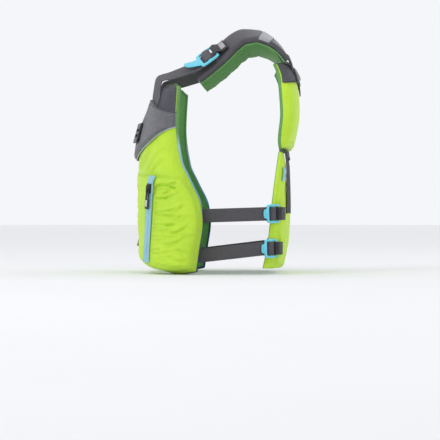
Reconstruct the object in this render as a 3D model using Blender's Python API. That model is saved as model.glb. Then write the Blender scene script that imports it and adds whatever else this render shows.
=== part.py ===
"""Zip-front paddling life jacket for a woman's torso, in metres.

The wearer faces -Y, the wearer's left is +X and +Z is up. The hem of the front halves stands on Z = 0.
Every padded panel is laid out flat as (s, z), where s runs round the torso from the centre line, and is
then wrapped on a torso section and given a thickness along the outward normal.
"""

import math

import bmesh
import bpy
import numpy as np
from mathutils import Matrix, Vector

# ---- torso that the jacket is shaped on (height, value) ----
FRONT_HALF_WIDTH = [(0, 0.133), (0.10, 0.136), (0.20, 0.140), (0.26, 0.137), (0.36, 0.134)]
FRONT_DEPTH = [(0, 0.101), (0.05, 0.1045), (0.10, 0.108), (0.15, 0.112), (0.20, 0.1165),
               (0.235, 0.1145), (0.28, 0.1065), (0.33, 0.0955), (0.37, 0.082)]
BACK_HALF_WIDTH = [(0, 0.142), (0.10, 0.144), (0.20, 0.152), (0.25, 0.163), (0.40, 0.163)]
BACK_DEPTH = [(0, 0.116), (0.03, 0.121), (0.07, 0.128), (0.12, 0.1305), (0.20, 0.1285), (0.24, 0.1235),
              (0.30, 0.1325), (0.36, 0.1285), (0.40, 0.110)]
FRONT_ROUNDNESS, BACK_ROUNDNESS = 2.4, 3.6

# ---- layers of a padded panel ----
LINING = 0.0012
LAYER_GAP = 0.0004
SHELL = 0.0012
WALL = 0.004
EDGE_RADIUS = 0.020

# ---- front halves ----
ZIP_HALF_GAP = 0.0125
FRONT_INNER_EDGE = [(0, ZIP_HALF_GAP), (0.238, ZIP_HALF_GAP), (0.256, 0.018), (0.28, 0.034),
                    (0.31, 0.046), (0.36, 0.053)]
FRONT_REAR_Y = [(0, -0.036), (0.044, -0.030), (0.096, -0.0235), (0.128, -0.027), (0.174, -0.047),
                (0.211, -0.063), (0.276, -0.071), (0.36, -0.066)]
FRONT_HEM = [(0, 0.034), (0.3, 0.014), (0.6, 0.0030), (0.78, 0.0008), (1, 0.006)]
FRONT_TOP = [(0, 0.345), (0.5, 0.354), (1, 0.346)]
FRONT_FOAM = [(0, 0.028), (0.12, 0.032), (0.22, 0.034), (0.28, 0.030), (0.36, 0.020)]
FRONT_U = [0, 0.03, 0.09, 0.18, 0.3, 0.42, 0.54, 0.66, 0.78, 0.88, 0.95, 0.985, 1]
FRONT_V = [0, 0.015, 0.045, 0.10, 0.18, 0.27, 0.36, 0.44, 0.51, 0.58, 0.66, 0.75, 0.83, 0.90, 0.955, 0.985, 1]

# ---- cargo pocket and its zip ----
POCKET_U = (2, 10)
POCKET_V = (1, 8)
ZIP_LOW = Vector((0.1190, -0.1285, 0.030))
ZIP_HIGH = Vector((0.1330, -0.1195, 0.170))
POCKET_ZIP_WIDTH, TAPE, COIL = 0.020, 0.0008, 0.0018

# ---- chest panels ----
CHEST_U = (1, 11)
CHEST_V = (9, 14)
CHEST_STANDOFF = 0.0064

# ---- back ----
BACK_SIDE = [(0.22, 0.088), (0.25, 0.106), (0.30, 0.116), (0.345, 0.118), (0.395, 0.112)]
BACK_BOTTOM = [(-1, 0.236), (-0.5, 0.233), (0, 0.232), (0.5, 0.233), (1, 0.236)]
BACK_TOP = [(-1, 0.386), (-0.75, 0.3905), (-0.5, 0.388), (0, 0.366), (0.5, 0.388), (0.75, 0.3905), (1, 0.386)]
BACK_FOAM = [(0.22, 0.019), (0.28, 0.0215), (0.35, 0.0215), (0.40, 0.020)]
BACK_U = [-1, -0.985, -0.94, -0.85, -0.68, -0.45, -0.2, 0, 0.2, 0.45, 0.68, 0.85, 0.94, 0.985, 1]
BACK_V = [0, 0.03, 0.10, 0.22, 0.36, 0.5, 0.64, 0.78, 0.90, 0.945, 0.98, 1]
YOKE_BACK_V = (6, 11)

# ---- waist band and mesh ----
BAND_FRONT_Y = [(0, 0.085), (0.063, 0.097), (0.137, 0.1045), (0.229, 0.1165)]
BAND_BOTTOM = 0.0105
BAND_TOP = [(0, 0.120), (0.60, 0.121), (0.68, 0.134), (0.76, 0.200), (0.84, 0.226), (1, 0.227)]
BAND_U = [0, 0.2, 0.4, 0.55, 0.62, 0.68, 0.72, 0.77, 0.84, 0.92, 0.975, 1]
BAND_V = [0, 0.05, 0.18, 0.4, 0.6, 0.8, 0.95, 1]
BAND_THICK, MESH_THICK = 0.0075, 0.0014
MESH_TOP, MESH_BOTTOM, MESH_HALF, MESH_OUT = 0.229, 0.113, 0.090, 0.0094

# ---- shoulder pads: points on the middle of the top face ----
PAD_PATH = [(0.0965, 0.1365, 0.3990), (0.0975, 0.129, 0.4115), (0.098, 0.116, 0.4265), (0.098, 0.098, 0.4390),
            (0.0975, 0.075, 0.4475), (0.0965, 0.052, 0.4465), (0.0945, 0.030, 0.4350), (0.092, 0.008, 0.4135),
            (0.090, -0.016, 0.3915), (0.0885, -0.040, 0.3700)]
PAD_WIDTH = [(0, 0.060), (0.4, 0.058), (0.8, 0.052), (1, 0.040)]
PAD_THICK, PAD_LINING = 0.010, 0.0020
# how far the pad's top face turns outward along its length, in radians
SHOULDER_TILT = 0.58
PAD_TILT = [(0, 0), (0.12, 0.12), (0.35, 0.36), (0.6, SHOULDER_TILT), (1, SHOULDER_TILT)]

# ---- webbing and buckles ----
WEB = 0.0016
SHOULDER_WEB, SIDE_WEB = 0.038, 0.025
SHOULDER_PIVOT = Vector((0.0895, -0.0030, 0.4034))
SHOULDER_LOCK_DOWN = Vector((0, -0.807, -0.590)).normalized()
SHOULDER_TURN = Matrix.Rotation(-SHOULDER_TILT, 3, SHOULDER_LOCK_DOWN)
SHOULDER_LOCK = SHOULDER_PIVOT + SHOULDER_TURN @ Vector((-0.0010, 0, 0.0131))
SHOULDER_ACROSS = SHOULDER_TURN @ Vector((1, 0, 0))
SIDE_HEIGHTS = {"upper": (0.1075, 0.1120), "lower": (0.0330, 0.0480)}
SIDE_BAR_Y = {"upper": 0.1060, "lower": 0.1015}
LOCK_THICK = 0.0044

# ---- centre front zip ----
FRONT_ZIP_LOW = Vector((0, -0.1085, 0.046))
FRONT_ZIP_HIGH = Vector((0, -0.1195, 0.238))
SLIDER_LENGTH = 0.018

LIME = (0.540, 0.800, 0.048)
HEATHER = (0.155, 0.155, 0.168)
CHARCOAL = (0.062, 0.056, 0.065)
SKY = (0.155, 0.680, 0.830)
GREEN = (0.115, 0.400, 0.080)
BLACK = (0.014, 0.014, 0.016)
SILVER = (0.370, 0.370, 0.400)
FOAM = (0.750, 0.750, 0.720)
COLOURS = {
    "lime_fabric": (LIME, 0.8), "heather_fabric": (HEATHER, 0.9), "charcoal_fabric": (CHARCOAL, 0.85),
    "neoprene": (CHARCOAL, 0.65), "green_lining": (GREEN, 0.85), "foam": (FOAM, 0.9),
    "sky_plastic": (SKY, 0.35), "sky_tape": ((0.36, 0.62, 0.80), 0.8), "black_webbing": (BLACK, 0.8),
    "black_plastic": (BLACK, 0.4), "silver_film": (SILVER, 0.35), "mesh_fabric": ((0.05, 0.06, 0.05), 0.9),
    "label_fabric": ((0.55, 0.56, 0.58), 0.7),
}


def clear_scene():
    for thing in list(bpy.data.objects):
        bpy.data.objects.remove(thing, do_unlink=True)


def curve(keys, x):
    """Smooth value at x of a curve through the (x, value) keys, without overshoot."""
    xs = [k[0] for k in keys]
    ys = [k[1] for k in keys]
    if x <= xs[0]:
        return ys[0]
    if x >= xs[-1]:
        return ys[-1]
    i = max(n for n in range(len(xs) - 1) if xs[n] <= x)
    slopes = [(ys[n + 1] - ys[n]) / (xs[n + 1] - xs[n]) for n in range(len(xs) - 1)]

    def tangent(n):
        if n == 0 or n == len(xs) - 1:
            return slopes[0] if n == 0 else slopes[-1]
        a, b = slopes[n - 1], slopes[n]
        return 0.0 if a * b <= 0 else 2 * a * b / (a + b)

    h = xs[i + 1] - xs[i]
    t = (x - xs[i]) / h
    a, b = tangent(i) * h, tangent(i + 1) * h
    return ((2 * t ** 3 - 3 * t ** 2 + 1) * ys[i] + (t ** 3 - 2 * t ** 2 + t) * a
            + (3 * t ** 2 - 2 * t ** 3) * ys[i + 1] + (t ** 3 - t ** 2) * b)


def section(z, back):
    """Quarter of the torso's outline at height z: arc length, x, y and outward normal."""
    a = curve(BACK_HALF_WIDTH if back else FRONT_HALF_WIDTH, z)
    b = curve(BACK_DEPTH if back else FRONT_DEPTH, z)
    n = BACK_ROUNDNESS if back else FRONT_ROUNDNESS
    angle = np.linspace(0, math.pi / 2, 241)
    x = a * np.sin(angle) ** (2 / n)
    y = b * np.clip(np.cos(angle), 0, 1) ** (2 / n)
    s = np.concatenate([[0], np.cumsum(np.hypot(np.diff(x), np.diff(y)))])
    nx, ny = (x / a) ** (n - 1) / a, (y / b) ** (n - 1) / b
    size = np.hypot(nx, ny)
    side = 1 if back else -1
    return s, x, side * y, nx / size, side * ny / size


def wrap(s, z, t, back):
    """Point at arc length s from the centre line, height z and t outside the torso."""
    arc, x, y, nx, ny = section(z, back)
    at = abs(s)
    sign = -1 if s < 0 else 1
    px, py = np.interp(at, arc, x), np.interp(at, arc, y)
    qx, qy = np.interp(at, arc, nx), np.interp(at, arc, ny)
    return Vector((sign * (px + t * qx), py + t * qy, z))


def arc_at_y(z, y, back):
    arc, _, ys, _, _ = section(z, back)
    return float(np.interp(abs(y), np.abs(ys)[::-1], arc[::-1]))


def rise(distance, radius):
    """Rounded edge of a cushion: 0 on the edge, 1 at the radius."""
    k = 1 - min(max(distance / radius, 0), 1)
    return math.sqrt(1 - k * k)


# ---- panels as functions (u, v) -> (s, z) ----
def front_map(u, v, grow=0.0):
    low, high = curve(FRONT_HEM, u) - grow * 0.5, curve(FRONT_TOP, u) + grow
    z = low + v * (high - low)
    inner = curve(FRONT_INNER_EDGE, z) - grow
    outer = arc_at_y(z, curve(FRONT_REAR_Y, z), False) + grow
    return inner + u * (outer - inner), z


def front_cushion(u, v, grow=0.0):
    """How full the front foam is at (u, v), 0 on the edge and 1 inside."""
    s, z = front_map(u, v)
    s0, _ = front_map(0, v)
    s1, _ = front_map(1, v)
    tall = 0.34
    return (rise(s - s0, EDGE_RADIUS) * rise(s1 - s, EDGE_RADIUS)
            * rise(v * tall, EDGE_RADIUS) * rise((1 - v) * tall, EDGE_RADIUS))


def front_skin(u, v, off, grow=None):
    """Point on the cover of a front half, off metres outside the foam."""
    grow = off if grow is None else grow
    s, z = front_map(u, v, grow)
    full = front_cushion(u, v)
    foam = LINING + LAYER_GAP + WALL + (curve(FRONT_FOAM, z) - WALL) * full
    return wrap(s, z, foam + off, False)


def back_map(u, v, grow=0.0):
    low, high = curve(BACK_BOTTOM, u) - grow, curve(BACK_TOP, u) + grow
    z = low + v * (high - low)
    return u * (curve(BACK_SIDE, z) + grow), z


def back_skin(u, v, off, grow=None):
    grow = off if grow is None else grow
    s, z = back_map(u, v, grow)
    side = curve(BACK_SIDE, z)
    full = (rise((1 - abs(u)) * side, EDGE_RADIUS) * rise(v * 0.15, EDGE_RADIUS * 0.8)
            * rise((1 - v) * 0.15, EDGE_RADIUS * 0.45))
    foam = LINING + LAYER_GAP + WALL + (curve(BACK_FOAM, z) - WALL) * full
    return wrap(s, z, foam + off, True)


def band_map(u, v):
    low = BAND_BOTTOM + 0.004 * rise(0, 1)
    high = curve(BAND_TOP, abs(u))
    z = low + v * (high - low)
    return u * arc_at_y(z, curve(BAND_FRONT_Y, z), True), z


# ---- mesh building ----
def finish(name, verts, faces, material, flip=False):
    """Make one closed object from vertices and faces, joined where they touch."""
    mesh = bpy.data.meshes.new(name)
    bm = bmesh.new()
    made = [bm.verts.new((-v[0], v[1], v[2]) if flip else v) for v in verts]
    for face in faces:
        corners = [made[i] for i in face]
        if len(set(corners)) == len(corners) and bm.faces.get(corners) is None:
            bm.faces.new(corners)
    bmesh.ops.remove_doubles(bm, verts=bm.verts, dist=1e-6)
    bmesh.ops.triangulate(bm, faces=bm.faces)
    bmesh.ops.recalc_face_normals(bm, faces=bm.faces)
    if bm.calc_volume(signed=True) < 0:
        bmesh.ops.reverse_faces(bm, faces=bm.faces)
    bm.to_mesh(mesh)
    bm.free()
    thing = bpy.data.objects.new(name, mesh)
    bpy.context.scene.collection.objects.link(thing)
    paint(thing, material)
    return thing


def paint(thing, slot):
    colour, roughness = COLOURS[slot]
    made = bpy.data.materials.new(thing.name)
    made.use_nodes = True
    shader = made.node_tree.nodes["Principled BSDF"]
    shader.inputs["Base Color"].default_value = (*colour, 1)
    shader.inputs["Roughness"].default_value = roughness
    thing.data.materials.clear()
    thing.data.materials.append(made)


def border(nu, nv):
    """Grid places round the edge of an (nu + 1) x (nv + 1) grid, in order."""
    return ([(i, 0) for i in range(nu)] + [(nu, j) for j in range(nv)]
            + [(i, nv) for i in range(nu, 0, -1)] + [(0, j) for j in range(nv, 0, -1)])


def layered(name, layers, material, flip=False):
    """Closed body whose first and last layers are grids, with only the borders of those between."""
    nu, nv = len(layers[0]) - 1, len(layers[0][0]) - 1
    ring = border(nu, nv)
    verts, faces, rings = [], [], []
    for number, grid in enumerate(layers):
        if number in (0, len(layers) - 1):
            start = len(verts)
            verts += [grid[i][j] for i in range(nu + 1) for j in range(nv + 1)]
            for i in range(nu):
                for j in range(nv):
                    a = start + i * (nv + 1) + j
                    faces.append((a, a + 1, a + nv + 2, a + nv + 1))
            rings.append([start + i * (nv + 1) + j for i, j in ring])
        else:
            start = len(verts)
            verts += [grid[i][j] for i, j in ring]
            rings.append(list(range(start, start + len(ring))))
    for low, high in zip(rings, rings[1:]):
        for k in range(len(ring)):
            m = (k + 1) % len(ring)
            faces.append((low[k], low[m], high[m], high[k]))
    return finish(name, verts, faces, material, flip)


def grid(us, vs, place):
    return [[place(u, v) for v in vs] for u in us]


def lattice(name, stops, filled, place, material, flip=False):
    """Closed body made of the filled cells of a box lattice; place turns (x, y, z) into a point."""
    xs, ys, zs = stops
    verts, index, faces = [], {}, []

    def corner(i, j, k):
        if (i, j, k) not in index:
            index[i, j, k] = len(verts)
            verts.append(place(xs[i], ys[j], zs[k]))
        return index[i, j, k]

    cells = {(i, j, k) for i in range(len(xs) - 1) for j in range(len(ys) - 1) for k in range(len(zs) - 1)
             if filled((xs[i] + xs[i + 1]) / 2, (ys[j] + ys[j + 1]) / 2, (zs[k] + zs[k + 1]) / 2)}
    sides = [((1, 0, 0), [(1, 0, 0), (1, 1, 0), (1, 1, 1), (1, 0, 1)]),
             ((-1, 0, 0), [(0, 0, 0), (0, 0, 1), (0, 1, 1), (0, 1, 0)]),
             ((0, 1, 0), [(0, 1, 0), (0, 1, 1), (1, 1, 1), (1, 1, 0)]),
             ((0, -1, 0), [(0, 0, 0), (1, 0, 0), (1, 0, 1), (0, 0, 1)]),
             ((0, 0, 1), [(0, 0, 1), (1, 0, 1), (1, 1, 1), (0, 1, 1)]),
             ((0, 0, -1), [(0, 0, 0), (0, 1, 0), (1, 1, 0), (1, 0, 0)])]
    for i, j, k in sorted(cells):
        for (di, dj, dk), corners in sides:
            if (i + di, j + dj, k + dk) not in cells:
                faces.append([corner(i + a, j + b, k + c) for a, b, c in corners])
    return finish(name, verts, faces, material, flip)


def ribbon(name, path, across, thick, width, material, flip=False):
    """Flat webbing along a path; across gives the width direction at each point."""
    path = [Vector(p) for p in path]
    verts, faces = [], []
    for n, p in enumerate(path):
        before, after = path[max(n - 1, 0)], path[min(n + 1, len(path) - 1)]
        along = (after - before).normalized()
        side = Vector(across[n] if isinstance(across, list) else across)
        side = (side - along * side.dot(along)).normalized()
        up = along.cross(side).normalized()
        bend = 1.0
        if 0 < n < len(path) - 1:
            one, two = (p - before).normalized(), (after - p).normalized()
            bend = 1 / max(0.5, math.sqrt((1 + one.dot(two)) / 2))
        for sign, high in ((-1, -1), (1, -1), (1, 1), (-1, 1)):
            verts.append(p + side * sign * width / 2 + up * high * thick / 2 * bend)
    for n in range(len(path) - 1):
        for k in range(4):
            a, b = n * 4 + k, n * 4 + (k + 1) % 4
            faces.append((a, b, b + 4, a + 4))
    last = (len(path) - 1) * 4
    faces += [(3, 2, 1, 0), (last, last + 1, last + 2, last + 3)]
    return finish(name, verts, faces, material, flip)


def frame_at(origin, x_axis, z_axis):
    """place(x, y, z) in metres from a local frame with the given x direction and z (outward) direction."""
    x = Vector(x_axis).normalized()
    z = Vector(z_axis)
    z = (z - x * z.dot(x)).normalized()
    y = z.cross(x)
    origin = Vector(origin)
    return lambda a, b, c: origin + x * a + y * b + z * c


# ---- front halves ----
def pocket_lift(z):
    """Thickness outside the torso that puts the pocket's face just under its straight zip."""
    k = min(max((z - ZIP_LOW.z) / (ZIP_HIGH.z - ZIP_LOW.z), -0.1), 1.1)
    point = ZIP_LOW.lerp(ZIP_HIGH, k)
    arc, x, y, nx, ny = section(z, False)
    # the foot of the perpendicular from the zip to the section
    off = np.abs((point.x - x) * ny - (point.y - y) * nx)
    n = int(np.argmin(off))
    return float((point.x - x[n]) * nx[n] + (point.y - y[n]) * ny[n])


def make_front(side, flip):
    us, vs = FRONT_U, FRONT_V
    base = LINING + LAYER_GAP

    def flat(t, grow):
        return grid(us, vs, lambda u, v: wrap(*front_map(u, v, grow), t, False))

    edge = LAYER_GAP + SHELL
    layered(f"front_lining_{side}", [flat(0, edge), flat(LINING, edge)], "green_lining", flip)
    foam = grid(us, vs, lambda u, v: front_skin(u, v, 0))
    layered(f"front_foam_{side}", [flat(base, 0), foam], "foam", flip)
    inside = grid(us, vs, lambda u, v: front_skin(u, v, LAYER_GAP))
    outside = grid(us, vs, lambda u, v: front_skin(u, v, edge))
    layers = [outside, flat(base, edge), flat(base, LAYER_GAP), inside]
    layered(f"front_shell_{side}", layers, "lime_fabric", flip)
    make_pocket(side, flip)
    make_chest(side, flip)
    make_front_trim(side, flip)


def make_pocket(side, flip):
    us, vs = FRONT_U[POCKET_U[0]:POCKET_U[1] + 1], FRONT_V[POCKET_V[0]:POCKET_V[1] + 1]
    us = [us[0], us[0] + 0.015, us[0] + 0.045] + us[1:-1] + [us[-1] - 0.03, us[-1] - 0.01, us[-1]]
    vs = [vs[0], vs[0] + 0.01, vs[0] + 0.03] + vs[1:-1] + [vs[-1] - 0.03, vs[-1] - 0.01, vs[-1]]
    skin = LAYER_GAP + SHELL
    low = grid(us, vs, lambda u, v: front_skin(u, v, skin + 0.0007, skin))

    def face(u, v):
        s, z = front_map(u, v, skin)
        width = (us[-1] - us[0]) * 0.15
        full = (rise((u - us[0]) * 0.16, 0.016) * rise((us[-1] - u) * 0.16, 0.016)
                * rise((v - vs[0]) * 0.34, 0.014) * rise((vs[-1] - v) * 0.34, 0.014))
        near = front_skin(u, v, skin + 0.0025, skin)
        across = (u - us[0]) / (us[-1] - us[0])
        lean = 1 - 0.05 * (1 - across) ** 2 - 0.16 * max(0, (across - 0.72) / 0.28) ** 1.5
        far = wrap(s, z, (pocket_lift(z) - 0.0014) * lean, False)
        return near.lerp(far, full) if width else near

    layered(f"cargo_pocket_{side}", [low, grid(us, vs, face)], "lime_fabric", flip)
    along = (ZIP_HIGH - ZIP_LOW).normalized()
    out = pocket_normal()
    right = along.cross(out).normalized()
    length = (ZIP_HIGH - ZIP_LOW).length

    def place(x, y, z):
        drop = 0.25 * max(0, y - length)
        return ZIP_LOW + right * x + along * y + out * (z - drop)

    half = POCKET_ZIP_WIDTH / 2
    lattice(f"pocket_zip_{side}",
            ([-half, -0.0032, 0.0032, half], [-0.008, -0.003, 0, length, length + 0.006, length + 0.012],
             [0, TAPE, COIL]),
            lambda x, y, z: z < TAPE or abs(x) < 0.003, place, "sky_tape", flip)


def pocket_normal():
    z = (ZIP_LOW.z + ZIP_HIGH.z) / 2
    point = ZIP_LOW.lerp(ZIP_HIGH, 0.5)
    arc, x, y, nx, ny = section(z, False)
    n = int(np.argmin(np.abs((point.x - x) * ny - (point.y - y) * nx)))
    along = (ZIP_HIGH - ZIP_LOW).normalized()
    out = Vector((nx[n], ny[n], 0))
    return (out - along * out.dot(along)).normalized()


def make_chest(side, flip):
    skin = LAYER_GAP + SHELL
    us = FRONT_U[CHEST_U[0]:CHEST_U[1] + 1]
    vs = FRONT_V[CHEST_V[0]:CHEST_V[1] + 1]

    def place(lift, grow):
        def at(u, v):
            # the bottom edge sweeps up towards the armhole and the top edge down to it
            k = (u - us[0]) / (us[-1] - us[0])
            w = (v - vs[0]) / (vs[-1] - vs[0])
            low = vs[0] + 0.20 * k ** 1.6 - grow / 0.34
            high = vs[-1] - 0.015 - 0.080 * k
            vv = low + w * (high - low)
            uu = us[0] + (us[-1] - us[0]) * k + grow / 0.15 * (1 if k == 1 else -1 if k == 0 else 0)
            full = rise(k * 0.14, 0.008) * rise((1 - k) * 0.12, 0.008) * rise(w * 0.11, 0.010)
            return front_skin(uu, vv, skin + 0.0006 + (lift - 0.0006) * full, skin)
        return at

    low = grid(us, vs, place(CHEST_STANDOFF, 0))
    high = grid(us, vs, place(CHEST_STANDOFF + 0.0014, 0.0014))
    high = [[b if (b - a).length > 0.0008 else a + (b - a).normalized() * 0.0008
             for a, b in zip(ra, rb)] for ra, rb in zip(low, high)]
    layered(f"chest_panel_{side}", [low, high], "heather_fabric", flip)
    top = vs[-1]

    def yoke(off):
        def at(u, w):
            k = (u - us[0]) / (us[-1] - us[0])
            low_v = top - 0.006 - 0.080 * k
            return front_skin(u, low_v + w * (0.985 - low_v), skin + off, skin)
        return grid(us, [0, 0.3, 0.6, 0.85, 1], at)

    low, high = yoke(0.0010), yoke(0.0021)
    layered(f"front_yoke_{side}", [low, high], "charcoal_fabric", flip)


def make_front_trim(side, flip):
    skin = LAYER_GAP + SHELL
    # shoulder webbing: out of the chest sleeve, over the top and through the ladder lock
    under = [front_skin(0.54, v, skin + 0.0030, skin) for v in (0.80, 0.86, 0.91)]
    down, across = SHOULDER_LOCK_DOWN, SHOULDER_ACROSS
    up = down.cross(across).normalized()
    up = up if up.z > 0 else -up
    through = [SHOULDER_LOCK + down * a / 1000 + up * b / 1000
               for a, b in ((50, -2.2), (40, -3.6), (29.5, -3.6), (26.5, -1.8), (25, 0), (23, 2.4), (20.5, 3.5),
                            (17, 3.7), (13, 3.4), (10.6, 1.6), (9.6, 0), (9.2, -3.2))]
    fold = [Vector((0.087, -0.1115, 0.340)), Vector((0.0865, -0.1075, 0.361)), Vector((0.087, -0.1000, 0.3665)),
            Vector((0.088, -0.080, 0.3715))]
    path = under + fold + through
    tangent = (front_skin(0.66, 0.86, skin) - front_skin(0.42, 0.86, skin)).normalized()
    turns = [tangent.lerp(across, k) for k in (0.2, 0.4, 0.6, 0.8)]
    turns = [tangent] * 3 + turns + [across] * len(through)
    ribbon(f"shoulder_strap_{side}", path, turns, WEB, SHOULDER_WEB, "charcoal_fabric", flip)
    # side webbing: sewn inside the panel, across the free span and through its lock
    for level, (z0, z1) in SIDE_HEIGHTS.items():
        s_edge = arc_at_y(z0, curve(FRONT_REAR_Y, z0), False)
        inside = [wrap(s_edge - d, z0, -0.0024, False) for d in (0.030, 0.015, 0.004)]
        lock = side_lock_frame(level)
        through = [lock(0, a / 1000, b / 1000)
                   for a, b in ((34, -1.6), (27, -3.5), (20.8, -3.5), (18.4, -1.8), (17.5, 0), (16.4, 2.2),
                                (14.8, 3.4), (11.7, 3.6), (8.4, 3.3), (7.3, 1.6), (7.2, -2.6))]
        middle = [inside[-1].lerp(through[0], k) + Vector((0.004 * math.sin(math.pi * k), 0, 0))
                  for k in (0.15, 0.4, 0.7)]
        path = inside + middle + through
        ribbon(f"side_strap_{level}_{side}", path, Vector((0, 0, 1)), WEB, SIDE_WEB, "charcoal_fabric", flip)
    # free tail of the lower webbing at the front
    tail = [front_skin(u, 0.085, skin + 0.0032, skin) for u in (0.072, 0.058, 0.045)]
    turn = tail[-1]
    tail += [turn + Vector((-0.0035, -0.004, 0.0015)), turn + Vector((-0.0040, -0.011, 0.006)),
             turn + Vector((-0.002, -0.018, 0.014))]
    height = front_skin(0.06, 0.115, skin) - front_skin(0.06, 0.055, skin)
    ribbon(f"strap_tail_{side}", tail, height, WEB, 0.020, "charcoal_fabric", flip)
    # lash tab on the chest
    place = surface_frame(0.34, 0.735, skin + CHEST_STANDOFF + 0.0026)
    lattice(f"lash_tab_{side}",
            ([-0.019, -0.013, 0.013, 0.019], [-0.019, -0.013, -0.008, -0.0025, 0.0025, 0.008, 0.013, 0.019],
             [0, 0.0042]),
            lambda x, y, z: not (abs(x) < 0.013 and 0.0025 < abs(y) < 0.008), place, "black_plastic", flip)
    make_front_zip_half(side, flip)


def surface_frame(u, v, off):
    skin = LAYER_GAP + SHELL
    at = front_skin(u, v, off, skin)
    right = front_skin(u + 0.08, v, off, skin) - front_skin(u - 0.08, v, off, skin)
    above = front_skin(u, v + 0.04, off, skin) - front_skin(u, v - 0.04, off, skin)
    return frame_at(at, right, right.cross(above))


def side_lock_frame(level):
    """Local frame of a side lock: y runs forward from the rear bar, z outward, x across."""
    z = SIDE_HEIGHTS[level][1]
    s = arc_at_y(z, SIDE_BAR_Y[level], True)
    bar = wrap(s, z, BAND_THICK + 0.0075, True)
    ahead = (wrap(s + 0.028, z - 0.001, BAND_THICK + 0.0078, True) - bar).normalized()
    across = Vector((0, 0, 1))
    across = (across - ahead * across.dot(ahead)).normalized()
    out = ahead.cross(across)
    out = out if out.x > 0 else -out
    return lambda a, b, c: bar + across * a + ahead * b + out * c


def make_front_zip_half(side, flip):
    along = (FRONT_ZIP_HIGH - FRONT_ZIP_LOW).normalized()
    out = Vector((0, along.z, -along.y)) * -1
    length = (FRONT_ZIP_HIGH - FRONT_ZIP_LOW).length
    top = length - (0 if side == "right" else SLIDER_LENGTH + 0.004)

    def place(x, y, z):
        return FRONT_ZIP_LOW + Vector((1, 0, 0)) * x + along * y + out * z

    lattice(f"front_zip_{side}",
            ([0.0011, 0.0042, 0.0104], [0, top], [-0.0015, -0.00045, 0.00045, 0.0015]),
            lambda x, y, z: abs(z) < 0.00045 or x < 0.0042, place, "black_webbing", flip)


# ---- zip sliders and pulls ----
def make_slider(name, origin, along, out, paired, flip=False):
    place = frame_at(origin, along.cross(out), out)
    half = SLIDER_LENGTH / 2
    ys = [-half, -0.006, -0.004, 0.004, 0.006, half]
    if paired:
        xs = [-0.0064, -0.0047, -0.0015, -0.00055, 0.00055, 0.0015, 0.0047, 0.0064]
        zs = [-0.0035, -0.0019, -0.00085, 0.00085, 0.0019, 0.0035, 0.0070, 0.0084]

        def filled(x, y, z):
            if z > 0.0035:
                return abs(x) < 0.0015 and abs(y) < 0.006 and (z > 0.007 or abs(y) > 0.004)
            if abs(z) > 0.0019:
                return True
            return abs(x) < 0.00055 or (abs(x) > 0.0047 and abs(z) > 0.00085)
    else:
        xs = [-0.0058, -0.0042, -0.0015, 0.0015, 0.0042, 0.0058]
        zs = [0.0013, 0.0023, 0.0038, 0.0072, 0.0085]

        def filled(x, y, z):
            if z > 0.0038:
                return abs(x) < 0.0015 and abs(y) < 0.006 and (z > 0.0072 or abs(y) > 0.004)
            return z > 0.0023 or abs(x) > 0.0042
    lattice(name, (xs, ys, zs), filled, place, "black_plastic", flip)
    return place


def make_pull(name, slider, lift, length, width, flip=False):
    """Pull tab whose cross bar lies under the slider's arch."""
    half = width / 2
    slot = -0.014

    def place(x, y, z):
        return slider(x, y, lift + z)

    lattice(name,
            ([-half, -0.0023, 0.0023, half], [-length, -0.026, slot - 0.006, slot, -0.0095, -0.001, 0.001],
             [-0.0009, 0.0009]),
            lambda x, y, z: abs(x) > 0.0023 or y > -0.001 or slot < y < -0.0095 or y < slot - 0.006,
            place, "black_plastic", flip)


def make_zips():
    along = (ZIP_HIGH - ZIP_LOW).normalized()
    out = pocket_normal()
    for side, flip in (("left", False), ("right", True)):
        slider = make_slider(f"pocket_slider_{side}", ZIP_HIGH - along * 0.012, along, out, False, flip)
        make_pull(f"pocket_pull_{side}", slider, 0.0054, 0.038, 0.010, flip)
    along = (FRONT_ZIP_HIGH - FRONT_ZIP_LOW).normalized()
    out = Vector((0, along.z, -along.y)) * -1
    slider = make_slider("front_zip_slider", FRONT_ZIP_HIGH - along * (SLIDER_LENGTH / 2 + 0.001), along, out, True)
    make_pull("front_zip_pull", slider, 0.0053, 0.034, 0.010)


# ---- back ----
def make_back():
    us, vs = BACK_U, BACK_V
    base = LINING + LAYER_GAP
    edge = LAYER_GAP + SHELL

    def flat(t, grow):
        return grid(us, vs, lambda u, v: wrap(*back_map(u, v, grow), t, True))

    layered("back_lining", [flat(0, edge), flat(LINING, edge)], "green_lining")
    layered("back_foam", [flat(base, 0), grid(us, vs, lambda u, v: back_skin(u, v, 0))], "foam")
    inside = grid(us, vs, lambda u, v: back_skin(u, v, LAYER_GAP))
    outside = grid(us, vs, lambda u, v: back_skin(u, v, edge))
    layered("back_shell", [outside, flat(base, edge), flat(base, LAYER_GAP), inside], "lime_fabric")
    vs = BACK_V[YOKE_BACK_V[0]:YOKE_BACK_V[1] + 1]
    us = BACK_U[1:-1]
    low = grid(us, vs, lambda u, v: back_skin(u, v, edge + 0.0005, edge))
    high = grid(us, vs, lambda u, v: back_skin(u, v, edge + 0.0019, edge))
    layered("back_yoke", [low, high], "charcoal_fabric")


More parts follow.
